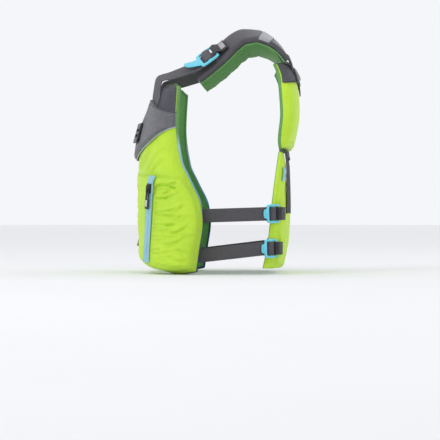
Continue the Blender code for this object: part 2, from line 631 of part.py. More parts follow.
def make_band_and_mesh():
    us = [-u for u in BAND_U[:0:-1]] + BAND_U

    def band(t):
        return grid(us, BAND_V, lambda u, v: wrap(*band_map(u, v), t, True))

    def bulge(u, v):
        full = rise((1 - abs(u)) * 0.16, 0.010) * rise(v * 0.1, 0.008) * rise((1 - v) * 0.1, 0.008)
        return wrap(*band_map(u, v), 0.0032 + (BAND_THICK - 0.0032) * full, True)

    layered("waist_band", [band(0.0016), grid(us, BAND_V, bulge)], "lime_fabric")
    layered("waist_band_lining", [band(0), band(0.0012)], "green_lining")
    # the mesh hangs from the back panel's lower edge to the band, between the wings
    columns = [-1, -0.87, -0.7, -0.4, 0, 0.4, 0.7, 0.87, 1]

    def mesh(t):
        def at(u, v):
            return wrap(u * MESH_HALF, MESH_BOTTOM + v * (MESH_TOP - MESH_BOTTOM), t, True)
        return grid(columns, [0, 0.25, 0.5, 0.75, 1], at)

    layered("back_mesh", [mesh(MESH_OUT - MESH_THICK), mesh(MESH_OUT)], "mesh_fabric")

    def tape(t):
        def at(u, v):
            z = 0.2195 + v * 0.0095
            return wrap(u * MESH_HALF, z, t, True)
        return grid(columns, [0, 1], at)

    layered("mesh_binding", [tape(MESH_OUT + 0.0004), tape(MESH_OUT + 0.0020)], "black_webbing")


# ---- shoulders ----
def pad_frames(count):
    """Point, across and up directions along the middle of the pad's top face."""
    points = [Vector(p) for p in PAD_PATH]
    lengths = [0]
    for a, b in zip(points, points[1:]):
        lengths.append(lengths[-1] + (b - a).length)
    keys = [[(l, p[axis]) for l, p in zip(lengths, points)] for axis in range(3)]
    out = []
    for n in range(count + 1):
        k = n / count
        at = Vector([curve(keys[axis], k * lengths[-1]) for axis in range(3)])
        step = lengths[-1] * 0.03
        ahead = Vector([curve(keys[axis], min(k * lengths[-1] + step, lengths[-1])) for axis in range(3)])
        behind = Vector([curve(keys[axis], max(k * lengths[-1] - step, 0)) for axis in range(3)])
        along = (ahead - behind).normalized()
        level = Vector((1, 0, 0))
        level = (level - along * level.dot(along)).normalized()
        up = level.cross(along).normalized()
        up = up if up.z > 0 or n == 0 and up.y > 0 else -up
        tilt = curve(PAD_TILT, k)
        across = level * math.cos(tilt) - up * math.sin(tilt)
        out.append((k, at, across, up * math.cos(tilt) + level * math.sin(tilt)))
    return out


def pad_ring(frame, top, bottom, extra=0.0):
    """Cross-section of a pad layer between two depths under the top face, with rounded top edges."""
    k, at, across, up = frame
    half = curve(PAD_WIDTH, k) / 2 + extra
    shape = [(-1, 0.55), (-0.93, 0.16), (-0.72, 0.0), (0, -0.04), (0.72, 0.0), (0.93, 0.16), (1, 0.55)]
    deep = bottom - top
    ring = [at + across * x * half - up * (top + y * deep) for x, y in shape]
    ring += [at + across * half - up * bottom, at - across * half - up * bottom]
    return ring


def swept(name, rings, material, flip):
    verts = [p for ring in rings for p in ring]
    size, faces = len(rings[0]), []
    for n in range(len(rings) - 1):
        for k in range(size):
            a, b = n * size + k, n * size + (k + 1) % size
            faces.append((a, b, b + size, a + size))
    last = (len(rings) - 1) * size
    faces += [tuple(reversed(range(size))), tuple(range(last, last + size))]
    return finish(name, verts, faces, material, flip)


def make_shoulder(side, flip):
    frames = pad_frames(18)
    swept(f"shoulder_pad_{side}", [pad_ring(f, 0, PAD_THICK) for f in frames], "neoprene", flip)
    under = []
    for k, at, across, up in frames:
        half = curve(PAD_WIDTH, k) / 2 + 0.0012
        corners = ((-1, 0.0004), (1, 0.0004), (1, PAD_LINING), (-1, PAD_LINING))
        under.append([at + across * x * half - up * (PAD_THICK + y) for x, y in corners])
    swept(f"shoulder_lining_{side}", under, "green_lining", flip)
    fine = pad_frames(60)
    band = []
    for k, at, across, up in fine[13:20]:
        half = curve(PAD_WIDTH, k) / 2
        top = [(-0.95, 0.0016), (-0.72, -0.0008), (0, -0.0012), (0.72, -0.0008), (0.95, 0.0016)]
        ring = [at + across * x * half - up * y for x, y in top]
        ring += [at + across * x * half - up * (y - 0.0009) for x, y in reversed(top)]
        band.append(ring)
    swept(f"reflective_band_{side}", band, "silver_film", flip)
    make_shoulder_lock(side, flip)


def lock_place(origin, down, across):
    up = down.cross(across).normalized()
    up = up if up.dot(Vector((0, -0.3, 1))) > 0 else -up
    return lambda x, y, z: Vector(origin) + across * x + down * y + up * z


def make_ladder_lock(name, place, width, bars, tongue, rise_to, flip):
    """Three-bar buckle with a lift tongue; bars are (start, end) along its length."""
    half = width / 2
    rail = 0.0035
    ys = sorted({b for bar in bars for b in bar}) + [bars[-1][1] + tongue * 0.45, bars[-1][1] + tongue]
    inner = width * 0.27
    last = bars[-1][1]

    def filled(x, y, z):
        if y > last:
            return abs(x) < inner
        return abs(x) > half - rail or any(a <= y <= b for a, b in bars)

    def shaped(x, y, z):
        k = max(0, (y - last) / tongue)
        thin = 1 - 0.45 * k
        # rounded outer corners
        trim = 1 - 0.07 * (1 if y <= bars[0][0] + 1e-6 or abs(y - last) < 1e-6 else 0)
        return place(x * (trim if abs(x) > half - 1e-6 else 1 - 0.2 * k), y, z * thin + rise_to * k ** 1.4)

    lattice(name, ([-half, -(half - rail), -inner, inner, half - rail, half], ys,
                   [-LOCK_THICK / 2, LOCK_THICK / 2]), filled, shaped, "sky_plastic", flip)


def loop_path(place, bar_half, low_leg, high_leg):
    """Webbing loop round a bar at the origin, between two legs that run back to the sewn end."""
    r = bar_half + 0.0006 + WEB / 2
    turn = [place(0, r * math.cos(a), r * math.sin(a)) for a in np.linspace(-math.pi / 2, math.pi / 2, 7)]
    turn = [place(0, -0.003, -r)] + turn + [place(0, -0.0034, r - 0.0003)]
    return low_leg + turn + high_leg


def make_shoulder_lock(side, flip):
    across = SHOULDER_ACROSS
    place = lock_place(SHOULDER_LOCK, SHOULDER_LOCK_DOWN, across)
    bars = [(-0.0021, 0.0021), (0.0138, 0.0198), (0.0305, 0.0365)]
    make_ladder_lock(f"shoulder_lock_{side}", place, 0.0465, bars, 0.027, 0.0135, flip)
    sewn, near, far = [min(pad_frames(60), key=lambda f: abs(f[1].y - y)) for y in (0.0190, 0.0085, 0.0120)]
    low = [sewn[1] + sewn[3] * 0.0022, near[1] + near[3] * 0.0024]
    high = [far[1] + far[3] * 0.0060, sewn[1] + sewn[3] * 0.0044]
    for point in low + high:
        point += across * (SHOULDER_LOCK - point).dot(across)
    path = loop_path(place, 0.0031, low, high)
    turns = [sewn[2], near[2]] + [across] * (len(path) - 4) + [far[2], sewn[2]]
    ribbon(f"shoulder_anchor_{side}", path, turns, WEB, SHOULDER_WEB - 0.003, "black_webbing", flip)


def make_side_lock(side, flip):
    for level in SIDE_HEIGHTS:
        place = side_lock_frame(level)
        bars = [(-0.0018, 0.0018), (0.0090, 0.0140), (0.0212, 0.0255)]
        make_ladder_lock(f"side_lock_{level}_{side}", place, 0.0335, bars, 0.010, 0.0045, flip)
        z = SIDE_HEIGHTS[level][1]
        s = arc_at_y(z, SIDE_BAR_Y[level], True)
        low = [wrap(s - a, z, BAND_THICK + b, True) for a, b in ((0.019, 0.0026), (0.008, 0.0036))]
        high = [wrap(s - a, z, BAND_THICK + b, True) for a, b in ((0.011, 0.0084), (0.019, 0.0052))]
        path = loop_path(place, 0.0029, low, high)
        ribbon(f"side_anchor_{level}_{side}", path, Vector((0, 0, 1)), WEB, SIDE_WEB - 0.001, "black_webbing", flip)


def build():
    clear_scene()
    for side, flip in (("left", False), ("right", True)):
        make_front(side, flip)
        make_shoulder(side, flip)
        make_side_lock(side, flip)
    make_zips()
    make_back()
    make_band_and_mesh()


build()
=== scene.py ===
"""Looks of the zip-front paddling life jacket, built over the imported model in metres.

The wearer faces -Y, the wearer's left is +X and +Z is up. Every soft solid of the model is replaced by a
finer piece laid out on the same torso. A cloth simulation settles the covers of the panels and of the waist
band, the pockets and the chest panels; linings, yokes, shoulder pads and webbing keep the shape given here.
"""

import functools
import math

import bmesh
import bpy
import numpy as np
from mathutils import Matrix, Vector, noise


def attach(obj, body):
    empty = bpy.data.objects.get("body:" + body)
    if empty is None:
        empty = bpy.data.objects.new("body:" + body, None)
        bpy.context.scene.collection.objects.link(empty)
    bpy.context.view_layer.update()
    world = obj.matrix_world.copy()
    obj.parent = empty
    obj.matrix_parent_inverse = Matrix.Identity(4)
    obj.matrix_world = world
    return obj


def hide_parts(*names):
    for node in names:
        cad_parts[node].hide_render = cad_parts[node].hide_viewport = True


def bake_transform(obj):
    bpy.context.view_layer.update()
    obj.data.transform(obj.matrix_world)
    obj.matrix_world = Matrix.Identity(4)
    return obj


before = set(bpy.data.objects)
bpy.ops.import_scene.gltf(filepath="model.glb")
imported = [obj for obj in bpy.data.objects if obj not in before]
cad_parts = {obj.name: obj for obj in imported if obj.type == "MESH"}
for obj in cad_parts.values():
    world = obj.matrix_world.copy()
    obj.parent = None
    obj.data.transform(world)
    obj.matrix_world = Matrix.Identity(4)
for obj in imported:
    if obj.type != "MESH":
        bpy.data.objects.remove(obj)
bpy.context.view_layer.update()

# ---- torso that the jacket is shaped on (height, value) ----
FRONT_HALF_WIDTH = [(0, 0.133), (0.10, 0.136), (0.20, 0.140), (0.26, 0.137), (0.36, 0.134)]
FRONT_DEPTH = [(0, 0.101), (0.05, 0.1045), (0.10, 0.108), (0.15, 0.112), (0.20, 0.1165),
               (0.235, 0.1145), (0.28, 0.1065), (0.33, 0.0955), (0.37, 0.082)]
BACK_HALF_WIDTH = [(0, 0.142), (0.10, 0.144), (0.20, 0.152), (0.25, 0.163), (0.40, 0.163)]
BACK_DEPTH = [(0, 0.116), (0.03, 0.121), (0.07, 0.128), (0.12, 0.1305), (0.20, 0.1285), (0.24, 0.1235),
              (0.30, 0.1325), (0.36, 0.1285), (0.40, 0.110)]
FRONT_ROUNDNESS, BACK_ROUNDNESS = 2.4, 3.6

# ---- layers of a padded panel ----
LINING, LAYER_GAP, SHELL, WALL, EDGE_RADIUS = 0.0012, 0.0004, 0.0012, 0.004, 0.020
SKIN = LAYER_GAP + SHELL

# ---- front halves ----
ZIP_HALF_GAP = 0.0125
FRONT_INNER_EDGE = [(0, ZIP_HALF_GAP), (0.238, ZIP_HALF_GAP), (0.256, 0.018), (0.28, 0.034),
                    (0.31, 0.046), (0.36, 0.053)]
FRONT_REAR_Y = [(0, -0.036), (0.044, -0.030), (0.096, -0.0235), (0.128, -0.027), (0.174, -0.047),
                (0.211, -0.063), (0.276, -0.071), (0.36, -0.066)]
FRONT_HEM = [(0, 0.034), (0.3, 0.014), (0.6, 0.0030), (0.78, 0.0008), (1, 0.006)]
FRONT_TOP = [(0, 0.345), (0.5, 0.354), (1, 0.346)]
FRONT_FOAM = [(0, 0.028), (0.12, 0.032), (0.22, 0.034), (0.28, 0.030), (0.36, 0.020)]
FRONT_HEIGHT, FRONT_WIDTH = 0.34, 0.16

# ---- cargo pocket, chest panel and front yoke, as shares (u, v) of a front half ----
POCKET_U, POCKET_V = (0.09, 0.985), (0.015, 0.51)
ZIP_LOW, ZIP_HIGH = Vector((0.1190, -0.1285, 0.030)), Vector((0.1330, -0.1195, 0.170))
POCKET_ZIP_WIDTH, TAPE = 0.020, 0.0008
STITCH_INSET_U, STITCH_INSET_V = 0.013, 0.007
CHEST_V = (0.58, 0.955)
CHEST_STANDOFF = 0.0064

# ---- back ----
BACK_SIDE = [(0.22, 0.088), (0.25, 0.106), (0.30, 0.116), (0.345, 0.118), (0.395, 0.112)]
BACK_BOTTOM = [(-1, 0.236), (-0.5, 0.233), (0, 0.232), (0.5, 0.233), (1, 0.236)]
BACK_TOP = [(-1, 0.386), (-0.75, 0.3905), (-0.5, 0.388), (0, 0.366), (0.5, 0.388), (0.75, 0.3905), (1, 0.386)]
BACK_FOAM = [(0.22, 0.019), (0.28, 0.0215), (0.35, 0.0215), (0.40, 0.020)]
BACK_HEIGHT = 0.15
YOKE_LOW_V = 0.78

# ---- waist band and mesh ----
BAND_FRONT_Y = [(0, 0.085), (0.063, 0.097), (0.137, 0.1045), (0.229, 0.1165)]
BAND_BOTTOM = 0.0105
BAND_TOP = [(0, 0.120), (0.60, 0.121), (0.68, 0.134), (0.76, 0.200), (0.84, 0.226), (1, 0.227)]
BAND_THICK, MESH_THICK = 0.0075, 0.0014
MESH_TOP, MESH_BOTTOM, MESH_HALF, MESH_OUT = 0.229, 0.113, 0.090, 0.0094
NET_COLUMNS, NET_ROWS, NET_YARN = 52, 34, 0.0006
# corners of the diamond hole in a cell of the net; it leaves about 0.63 of the cell as cloth
NET_HOLE = [(0.5, 0.07), (0.93, 0.5), (0.5, 0.93), (0.07, 0.5)]
# Chosen by hand to bring the declared area near the piece's own. It is not the net's share of cloth,
# which is the 0.63 above.
# wide tape along the top of the net, and the height where it starts to turn in behind the panel
TAPE_LOW, TAPE_TURN, TAPE_HIGH, TAPE_HALF = 0.2160, 0.2290, 0.2440, 0.0890

# ---- shoulder pads: points on the middle of the top face, from the back to the front ----
PAD_PATH = [(0.0965, 0.1365, 0.3990), (0.0975, 0.129, 0.4115), (0.098, 0.116, 0.4265), (0.098, 0.098, 0.4390),
            (0.0975, 0.075, 0.4475), (0.0965, 0.052, 0.4465), (0.0945, 0.030, 0.4350), (0.092, 0.008, 0.4135),
            (0.090, -0.016, 0.3915), (0.0885, -0.040, 0.3700)]
PAD_WIDTH = [(0, 0.060), (0.4, 0.058), (0.8, 0.052), (1, 0.040)]
PAD_THICK = 0.010
# how far the pad's top face turns outward along its length, in radians
SHOULDER_TILT = 0.58
PAD_TILT = [(0, 0), (0.12, 0.12), (0.35, 0.36), (0.6, SHOULDER_TILT), (1, SHOULDER_TILT)]

# ---- webbing and buckles ----
WEB = 0.0016
SHOULDER_WEB, SIDE_WEB = 0.038, 0.025
SHOULDER_PIVOT = Vector((0.0895, -0.0030, 0.4034))
SHOULDER_LOCK_DOWN = Vector((0, -0.807, -0.590)).normalized()
SHOULDER_TURN = Matrix.Rotation(-SHOULDER_TILT, 3, SHOULDER_LOCK_DOWN)
SHOULDER_LOCK = SHOULDER_PIVOT + SHOULDER_TURN @ Vector((-0.0010, 0, 0.0131))
SHOULDER_ACROSS = SHOULDER_TURN @ Vector((1, 0, 0))
SIDE_HEIGHTS = {"upper": (0.1075, 0.1120), "lower": (0.0330, 0.0480)}
SIDE_BAR_Y = {"upper": 0.1060, "lower": 0.1015}
LOCK_THICK = 0.0044

# ---- centre front zip ----
FRONT_ZIP_LOW, FRONT_ZIP_HIGH = Vector((0, -0.1085, 0.046)), Vector((0, -0.1195, 0.238))
SLIDER_LENGTH = 0.018

X_AXIS, Z_AXIS = Vector((1, 0, 0)), Vector((0, 0, 1))
SIDES = (("left", False), ("right", True))

# ---- colours, linear ----
LIME, LIME_DEEP = (0.560, 0.830, 0.040), (0.400, 0.680, 0.018)
HEATHER_LIGHT, HEATHER_DARK = (0.250, 0.250, 0.268), (0.085, 0.086, 0.096)
CHARCOAL, CHARCOAL_LIGHT = (0.050, 0.047, 0.055), (0.105, 0.098, 0.110)
YOKE_GREY, YOKE_LIGHT = (0.060, 0.062, 0.075), (0.120, 0.122, 0.140)
SKY, SKY_DEEP = (0.155, 0.660, 0.810), (0.090, 0.520, 0.700)
TAPE_LIGHT, TAPE_BLUE = (0.480, 0.760, 0.900), (0.200, 0.520, 0.760)
GREEN, GREEN_LIGHT = (0.085, 0.300, 0.060), (0.170, 0.440, 0.120)
BLACK, BLACK_LIGHT = (0.012, 0.012, 0.014), (0.040, 0.040, 0.046)
SILVER, SILVER_DARK = (0.420, 0.420, 0.450), (0.250, 0.250, 0.275)
NAVY = (0.014, 0.045, 0.190)


def curve(keys, x):
    """Smooth value at x of a curve through the (x, value) keys, without overshoot."""
    xs = [k[0] for k in keys]
    ys = [k[1] for k in keys]
    if x <= xs[0]:
        return ys[0]
    if x >= xs[-1]:
        return ys[-1]
    i = max(n for n in range(len(xs) - 1) if xs[n] <= x)
    slopes = [(ys[n + 1] - ys[n]) / (xs[n + 1] - xs[n]) for n in range(len(xs) - 1)]

    def tangent(n):
        if n == 0 or n == len(xs) - 1:
            return slopes[0] if n == 0 else slopes[-1]
        a, b = slopes[n - 1], slopes[n]
        return 0.0 if a * b <= 0 else 2 * a * b / (a + b)

    h = xs[i + 1] - xs[i]
    t = (x - xs[i]) / h
    a, b = tangent(i) * h, tangent(i + 1) * h
    return ((2 * t ** 3 - 3 * t ** 2 + 1) * ys[i] + (t ** 3 - 2 * t ** 2 + t) * a
            + (3 * t ** 2 - 2 * t ** 3) * ys[i + 1] + (t ** 3 - t ** 2) * b)


@functools.lru_cache(maxsize=20000)
def section(z, back):
    """Quarter of the torso's outline at height z: arc length, x, y and outward normal."""
    a = curve(BACK_HALF_WIDTH if back else FRONT_HALF_WIDTH, z)
    b = curve(BACK_DEPTH if back else FRONT_DEPTH, z)
    n = BACK_ROUNDNESS if back else FRONT_ROUNDNESS
    angle = np.linspace(0, math.pi / 2, 241)
    x = a * np.sin(angle) ** (2 / n)
    y = b * np.clip(np.cos(angle), 0, 1) ** (2 / n)
    s = np.concatenate([[0], np.cumsum(np.hypot(np.diff(x), np.diff(y)))])
    nx, ny = (x / a) ** (n - 1) / a, (y / b) ** (n - 1) / b
    size = np.hypot(nx, ny)
    side = 1 if back else -1
    return s, x, side * y, nx / size, side * ny / size


def wrap(s, z, t, back):
    """Point at arc length s from the centre line, height z and t outside the torso."""
    arc, x, y, nx, ny = section(z, back)
    at = abs(s)
    sign = -1 if s < 0 else 1
    px, py = np.interp(at, arc, x), np.interp(at, arc, y)
    qx, qy = np.interp(at, arc, nx), np.interp(at, arc, ny)
    return Vector((sign * (px + t * qx), py + t * qy, z))


def arc_at_y(z, y, back):
    arc, _, ys, _, _ = section(z, back)
    return float(np.interp(abs(y), np.abs(ys)[::-1], arc[::-1]))


def facing(point, z):
    """Arc length, x, y and normal of the front outline at height z, where its normal passes through point."""
    arc, x, y, nx, ny = section(z, False)
    n = int(np.argmin(np.abs((point.x - x) * ny - (point.y - y) * nx)))
    return arc[n], x[n], y[n], nx[n], ny[n]


def rise(distance, radius):
    """Rounded edge of a cushion: 0 on the edge, 1 at the radius."""
    k = 1 - min(max(distance / radius, 0), 1)
    return math.sqrt(1 - k * k)


def smooth(x, low, high):
    k = min(max((x - low) / (high - low), 0), 1)
    return k * k * (3 - 2 * k)


# ---- panels as functions of shares (u, v) ----
def front_map(u, v, grow=0.0):
    low, high = curve(FRONT_HEM, u) - grow * 0.5, curve(FRONT_TOP, u) + grow
    z = low + v * (high - low)
    inner = curve(FRONT_INNER_EDGE, z) - grow
    outer = arc_at_y(z, curve(FRONT_REAR_Y, z), False) + grow
    return inner + u * (outer - inner), z


def front_skin(u, v, off, grow=None):
    """Point on the cover of a front half, off metres outside its foam."""
    s, z = front_map(u, v, off if grow is None else grow)
    here, _ = front_map(u, v)
    first, _ = front_map(0, v)
    last, _ = front_map(1, v)
    full = (rise(here - first, EDGE_RADIUS) * rise(last - here, EDGE_RADIUS)
            * rise(v * FRONT_HEIGHT, EDGE_RADIUS) * rise((1 - v) * FRONT_HEIGHT, EDGE_RADIUS))
    foam = LINING + LAYER_GAP + WALL + (curve(FRONT_FOAM, z) - WALL) * full
    return wrap(s, z, foam + off, False)


def back_map(u, v, grow=0.0):
    low, high = curve(BACK_BOTTOM, u) - grow, curve(BACK_TOP, u) + grow
    z = low + v * (high - low)
    return u * (curve(BACK_SIDE, z) + grow), z


def back_skin(u, v, off, grow=None):
    s, z = back_map(u, v, off if grow is None else grow)
    full = (rise((1 - abs(u)) * curve(BACK_SIDE, z), EDGE_RADIUS)
            * rise(v * BACK_HEIGHT, EDGE_RADIUS * 0.8) * rise((1 - v) * BACK_HEIGHT, EDGE_RADIUS * 0.45))
    foam = LINING + LAYER_GAP + WALL + (curve(BACK_FOAM, z) - WALL) * full
    return wrap(s, z, foam + off, True)


def band_map(u, v):
    high = curve(BAND_TOP, abs(u))
    z = BAND_BOTTOM + v * (high - BAND_BOTTOM)
    return u * arc_at_y(z, curve(BAND_FRONT_Y, z), True), z


def pocket_lift(z):
    """Thickness outside the torso that puts the pocket's face just under its straight zip."""
    k = min(max((z - ZIP_LOW.z) / (ZIP_HIGH.z - ZIP_LOW.z), -0.1), 1.1)
    point = ZIP_LOW.lerp(ZIP_HIGH, k)
    _, x, y, nx, ny = facing(point, z)
    return float((point.x - x) * nx + (point.y - y) * ny)


def pocket_face(u, v):
    """Point on the outside of the cargo pocket."""
    s, z = front_map(u, v, SKIN)
    full = (rise((u - POCKET_U[0]) * FRONT_WIDTH, 0.020) * rise((POCKET_U[1] - u) * FRONT_WIDTH, 0.016)
            * rise((v - POCKET_V[0]) * FRONT_HEIGHT, 0.016) * rise((POCKET_V[1] - v) * FRONT_HEIGHT, 0.026))
    near = front_skin(u, v, SKIN + 0.0012, SKIN)
    across = (u - POCKET_U[0]) / (POCKET_U[1] - POCKET_U[0])
    lean = 1 - 0.05 * (1 - across) ** 2 - 0.16 * max(0, (across - 0.72) / 0.28) ** 1.5
    far = wrap(s, z, (pocket_lift(z) - 0.0014) * lean, False)
    return near.lerp(far, full)


def chest_place(k, w, lift):
    """Point on the chest panel, k across from the centre front and w up."""
    low = CHEST_V[0] + 0.20 * k ** 1.6
    high = CHEST_V[1] - 0.015 - 0.080 * k
    full = rise(k * 0.14, 0.008) * rise((1 - k) * 0.12, 0.008) * rise(w * 0.11, 0.010)
    return front_skin(k, low + w * (high - low), SKIN + 0.0006 + (lift - 0.0006) * full, SKIN)


def yoke_place(k, w, off):
    """Point on the plain yoke above the chest panel."""
    low = CHEST_V[1] - 0.055 - 0.080 * k
    return front_skin(k, low + w * (1 - low), SKIN + off, SKIN)


def band_face(u, v):
    full = rise((1 - abs(u)) * FRONT_WIDTH, 0.010) * rise(v * 0.1, 0.008) * rise((1 - v) * 0.1, 0.008)
    return wrap(*band_map(u, v), 0.0032 + (BAND_THICK - 0.0032) * full, True)


# ---- grids of cloth ----
def grid(us, vs, place):
    return np.array([[place(u, v) for v in vs] for u in us])


def eased(count, low=0.0, high=1.0):
    """Stops from low to high that lie closer together near both ends."""
    k = np.linspace(0, 1, count + 1)
    k = 0.45 * k + 0.55 * (1 - np.cos(np.pi * k)) / 2
    return low + (high - low) * k


def unit_normals(points):
    du, dv = np.gradient(points, axis=0), np.gradient(points, axis=1)
    across = np.cross(du, dv)
    return across / np.maximum(np.linalg.norm(across, axis=2, keepdims=True), 1e-12)


def flat_lengths(points):
    """How far along the cloth each point of a grid is, in metres: across and up."""
    steps_u = np.linalg.norm(np.diff(points, axis=0), axis=2)
    steps_v = np.linalg.norm(np.diff(points, axis=1), axis=2)
    u, v = np.zeros(points.shape[:2]), np.zeros(points.shape[:2])
    u[1:] = np.cumsum(steps_u, axis=0)
    v[:, 1:] = np.cumsum(steps_v, axis=1)
    return np.dstack([u - u[len(u) // 2], v])


class Surface:
    """A grid of points that gives places between them, off metres along its outward normal."""

    def __init__(self, us, vs, points, out=1):
        self.us, self.vs, self.points = np.array(us), np.array(vs), points
        self.normals = out * unit_normals(points)

    def _mixed(self, values, u, v):
        i = int(np.clip(np.searchsorted(self.us, u) - 1, 0, len(self.us) - 2))
        j = int(np.clip(np.searchsorted(self.vs, v) - 1, 0, len(self.vs) - 2))
        a = (u - self.us[i]) / (self.us[i + 1] - self.us[i])
        b = (v - self.vs[j]) / (self.vs[j + 1] - self.vs[j])
        low = values[i, j] * (1 - a) + values[i + 1, j] * a
        high = values[i, j + 1] * (1 - a) + values[i + 1, j + 1] * a
        return low * (1 - b) + high * b

    def normal(self, u, v):
        return Vector(self._mixed(self.normals, u, v)).normalized()

    def at(self, u, v, off=0.0):
        return Vector(self._mixed(self.points, u, v)) + self.normal(u, v) * off

    def moved(self, off):
        return self.points + self.normals * off


def ripples(surface, size, depth, stretch=(1, 1, 1), seed=0):
    """Small uneven folds, size metres across, pushed into a surface along its normals."""
    points = surface.points / size * np.array(stretch) + seed * 7.31
    lift = np.array([[noise.noise(Vector(p)) for p in row] for row in points])
    return lift[..., None] * depth * surface.normals


def press(surface, line, depth, width):
    """A groove along a line of (u, v) points: 0 far from it and -depth on it, along the normals."""
    ends = [surface.at(*p) for p in line]
    nearest = np.full(surface.points.shape[:2], 1.0)
    for a, b in zip(ends, ends[1:]):
        a, b = np.array(a), np.array(b)
        along = b - a
        t = np.clip(((surface.points - a) @ along) / max(along @ along, 1e-12), 0, 1)
        nearest = np.minimum(nearest, np.linalg.norm(surface.points - a - t[..., None] * along, axis=2))
    return -depth * np.exp(-(nearest / width) ** 2)[..., None] * surface.normals


def edge_weight(us, vs, reach_u, reach_v):
    """0 on the border of a grid and 1 from reach inwards."""
    u = np.clip(np.minimum(us - us[0], us[-1] - us) / reach_u, 0, 1)
    v = np.clip(np.minimum(vs - vs[0], vs[-1] - vs) / reach_v, 0, 1)
    weight = np.minimum(u[:, None], v[None, :])
    return weight * weight * (3 - 2 * weight)


def settle(surface, free, extra, push, cap, frames=20):
    """Cut the cloth larger than its place by extra (across, up), hold it where free is 0 and let it settle.

    free is how freely each point moves, push is the pressure inside, and cap is how far a point may go.
    """
    points = surface.points
    nu, nv = points.shape[:2]
    mesh = bpy.data.meshes.new("cloth")
    quads = [(i * nv + j, (i + 1) * nv + j, (i + 1) * nv + j + 1, i * nv + j + 1)
             for i in range(nu - 1) for j in range(nv - 1)]
    mesh.from_pydata(points.reshape(-1, 3).tolist(), [], quads)
    thing = bpy.data.objects.new("cloth", mesh)
    bpy.context.scene.collection.objects.link(thing)
    held = thing.vertex_groups.new(name="held")
    for n, loose in enumerate(free.ravel()):
        held.add([n], float(1 - loose), "REPLACE")
    thing.shape_key_add(name="Basis")
    cut = thing.shape_key_add(name="cut")
    larger = points * np.array([1 + extra[0], 1 + extra[0], 1 + extra[1]])
    cut.data.foreach_set("co", larger.ravel())
    cloth = thing.modifiers.new("Cloth", "CLOTH")
    settings = cloth.settings
    settings.quality = 6
    settings.mass = 0.2
    settings.tension_stiffness = settings.compression_stiffness = 20
    settings.shear_stiffness = 8
    settings.bending_stiffness = 0.15
    settings.vertex_group_mass = "held"
    settings.rest_shape_key = cut
    settings.effector_weights.gravity = 0
    settings.use_pressure = True
    outward = float((surface.normals * unit_normals(points)).sum())
    settings.uniform_pressure_force = push if outward > 0 else -push
    cloth.point_cache.frame_start, cloth.point_cache.frame_end = 1, frames
    for number in range(1, frames + 1):
        bpy.context.scene.frame_set(number)
    shown = thing.evaluated_get(bpy.context.evaluated_depsgraph_get())
    found = np.empty(nu * nv * 3, np.float32)
    shown.data.vertices.foreach_get("co", found)
    moved = found.reshape(nu, nv, 3).astype(float) - points
    far = np.linalg.norm(moved, axis=2, keepdims=True)
    moved *= np.minimum(1, cap / np.maximum(far, 1e-9)) * (free[..., None] > 0)
    bpy.data.objects.remove(thing, do_unlink=True)
    bpy.context.scene.frame_set(1)
    out = 1 if outward > 0 else -1
    return Surface(surface.us, surface.vs, points + moved, out)


# ---- pieces ----
def place_piece(thing, body, nodes=()):
    """Attach a piece to the body it moves with when that body is given by name, and hide the model's nodes that
    it stands for. A body given as a pair of bodies with two points is not used, and the piece stays where it
    is.
    """
    if isinstance(body, str):
        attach(thing, body)
    else:
        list(body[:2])
        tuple(body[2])
        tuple(body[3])
        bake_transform(thing)
    if nodes:
        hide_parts(*nodes)
    return thing


def make_piece(name, verts, faces, material, flip=False, uv=None, levels=0, sharp=50, crease=0.0):
    """Closed mesh piece; uv gives each vertex its place on the flat cloth, in metres."""
    verts = [tuple(v) for v in verts]
    mesh = bpy.data.meshes.new(name)
    bm = bmesh.new()
    made = [bm.verts.new((-x, y, z) if flip else (x, y, z)) for x, y, z in verts]
    layer = bm.loops.layers.uv.new("flat") if uv is not None else None
    for corners in faces:
        if len(set(corners)) < 3:
            continue
        face = bm.faces.new([made[i] for i in corners])
        if layer:
            for loop, i in zip(face.loops, corners):
                loop[layer].uv = uv[i]
    bmesh.ops.recalc_face_normals(bm, faces=bm.faces)
    if bm.calc_volume(signed=True) < 0:
        bmesh.ops.reverse_faces(bm, faces=bm.faces)
    if crease:
        edge_layer = bm.edges.layers.float.new("crease_edge")
        for edge in bm.edges:
            if len(edge.link_faces) == 2 and edge.calc_face_angle(0) > 0.6:
                edge[edge_layer] = crease
    bm.to_mesh(mesh)
    bm.free()
    mesh.shade_smooth()
    if not levels:
        mesh.set_sharp_from_angle(angle=math.radians(sharp))
    thing = bpy.data.objects.new(name, mesh)
    bpy.context.scene.collection.objects.link(thing)
    mesh.materials.append(material)
    if levels:
        rounded = thing.modifiers.new("Subdivision", "SUBSURF")
        rounded.levels = rounded.render_levels = levels
    return thing


def border(nu, nv):
    """Grid places round the edge of an (nu + 1) x (nv + 1) grid, in order."""
    return ([(i, 0) for i in range(nu)] + [(nu, j) for j in range(nv)]
            + [(i, nv) for i in range(nu, 0, -1)] + [(0, j) for j in range(nv, 0, -1)])


def layered(name, layers, material, flip=False, sharp=60):
    """Closed body whose first and last layers are grids, with only the borders of those between."""
    nu, nv = layers[0].shape[0] - 1, layers[0].shape[1] - 1
    ring = border(nu, nv)
    verts, faces, rings, uvs = [], [], [], []
    flat = flat_lengths(layers[-1])
    for number, points in enumerate(layers):
        start = len(verts)
        if number in (0, len(layers) - 1):
            verts += points.reshape(-1, 3).tolist()
            uvs += flat.reshape(-1, 2).tolist()
            for i in range(nu):
                for j in range(nv):
                    a = start + i * (nv + 1) + j
                    faces.append((a, a + 1, a + nv + 2, a + nv + 1))
            rings.append([start + i * (nv + 1) + j for i, j in ring])
        else:
            verts += [points[i, j].tolist() for i, j in ring]
            uvs += [flat[i, j].tolist() for i, j in ring]
            rings.append(list(range(start, start + len(ring))))
    for low, high in zip(rings, rings[1:]):
        for k in range(len(ring)):
            m = (k + 1) % len(ring)
            faces.append((low[k], low[m], high[m], high[k]))
    return make_piece(name, verts, faces, material, flip, uvs, sharp=sharp)


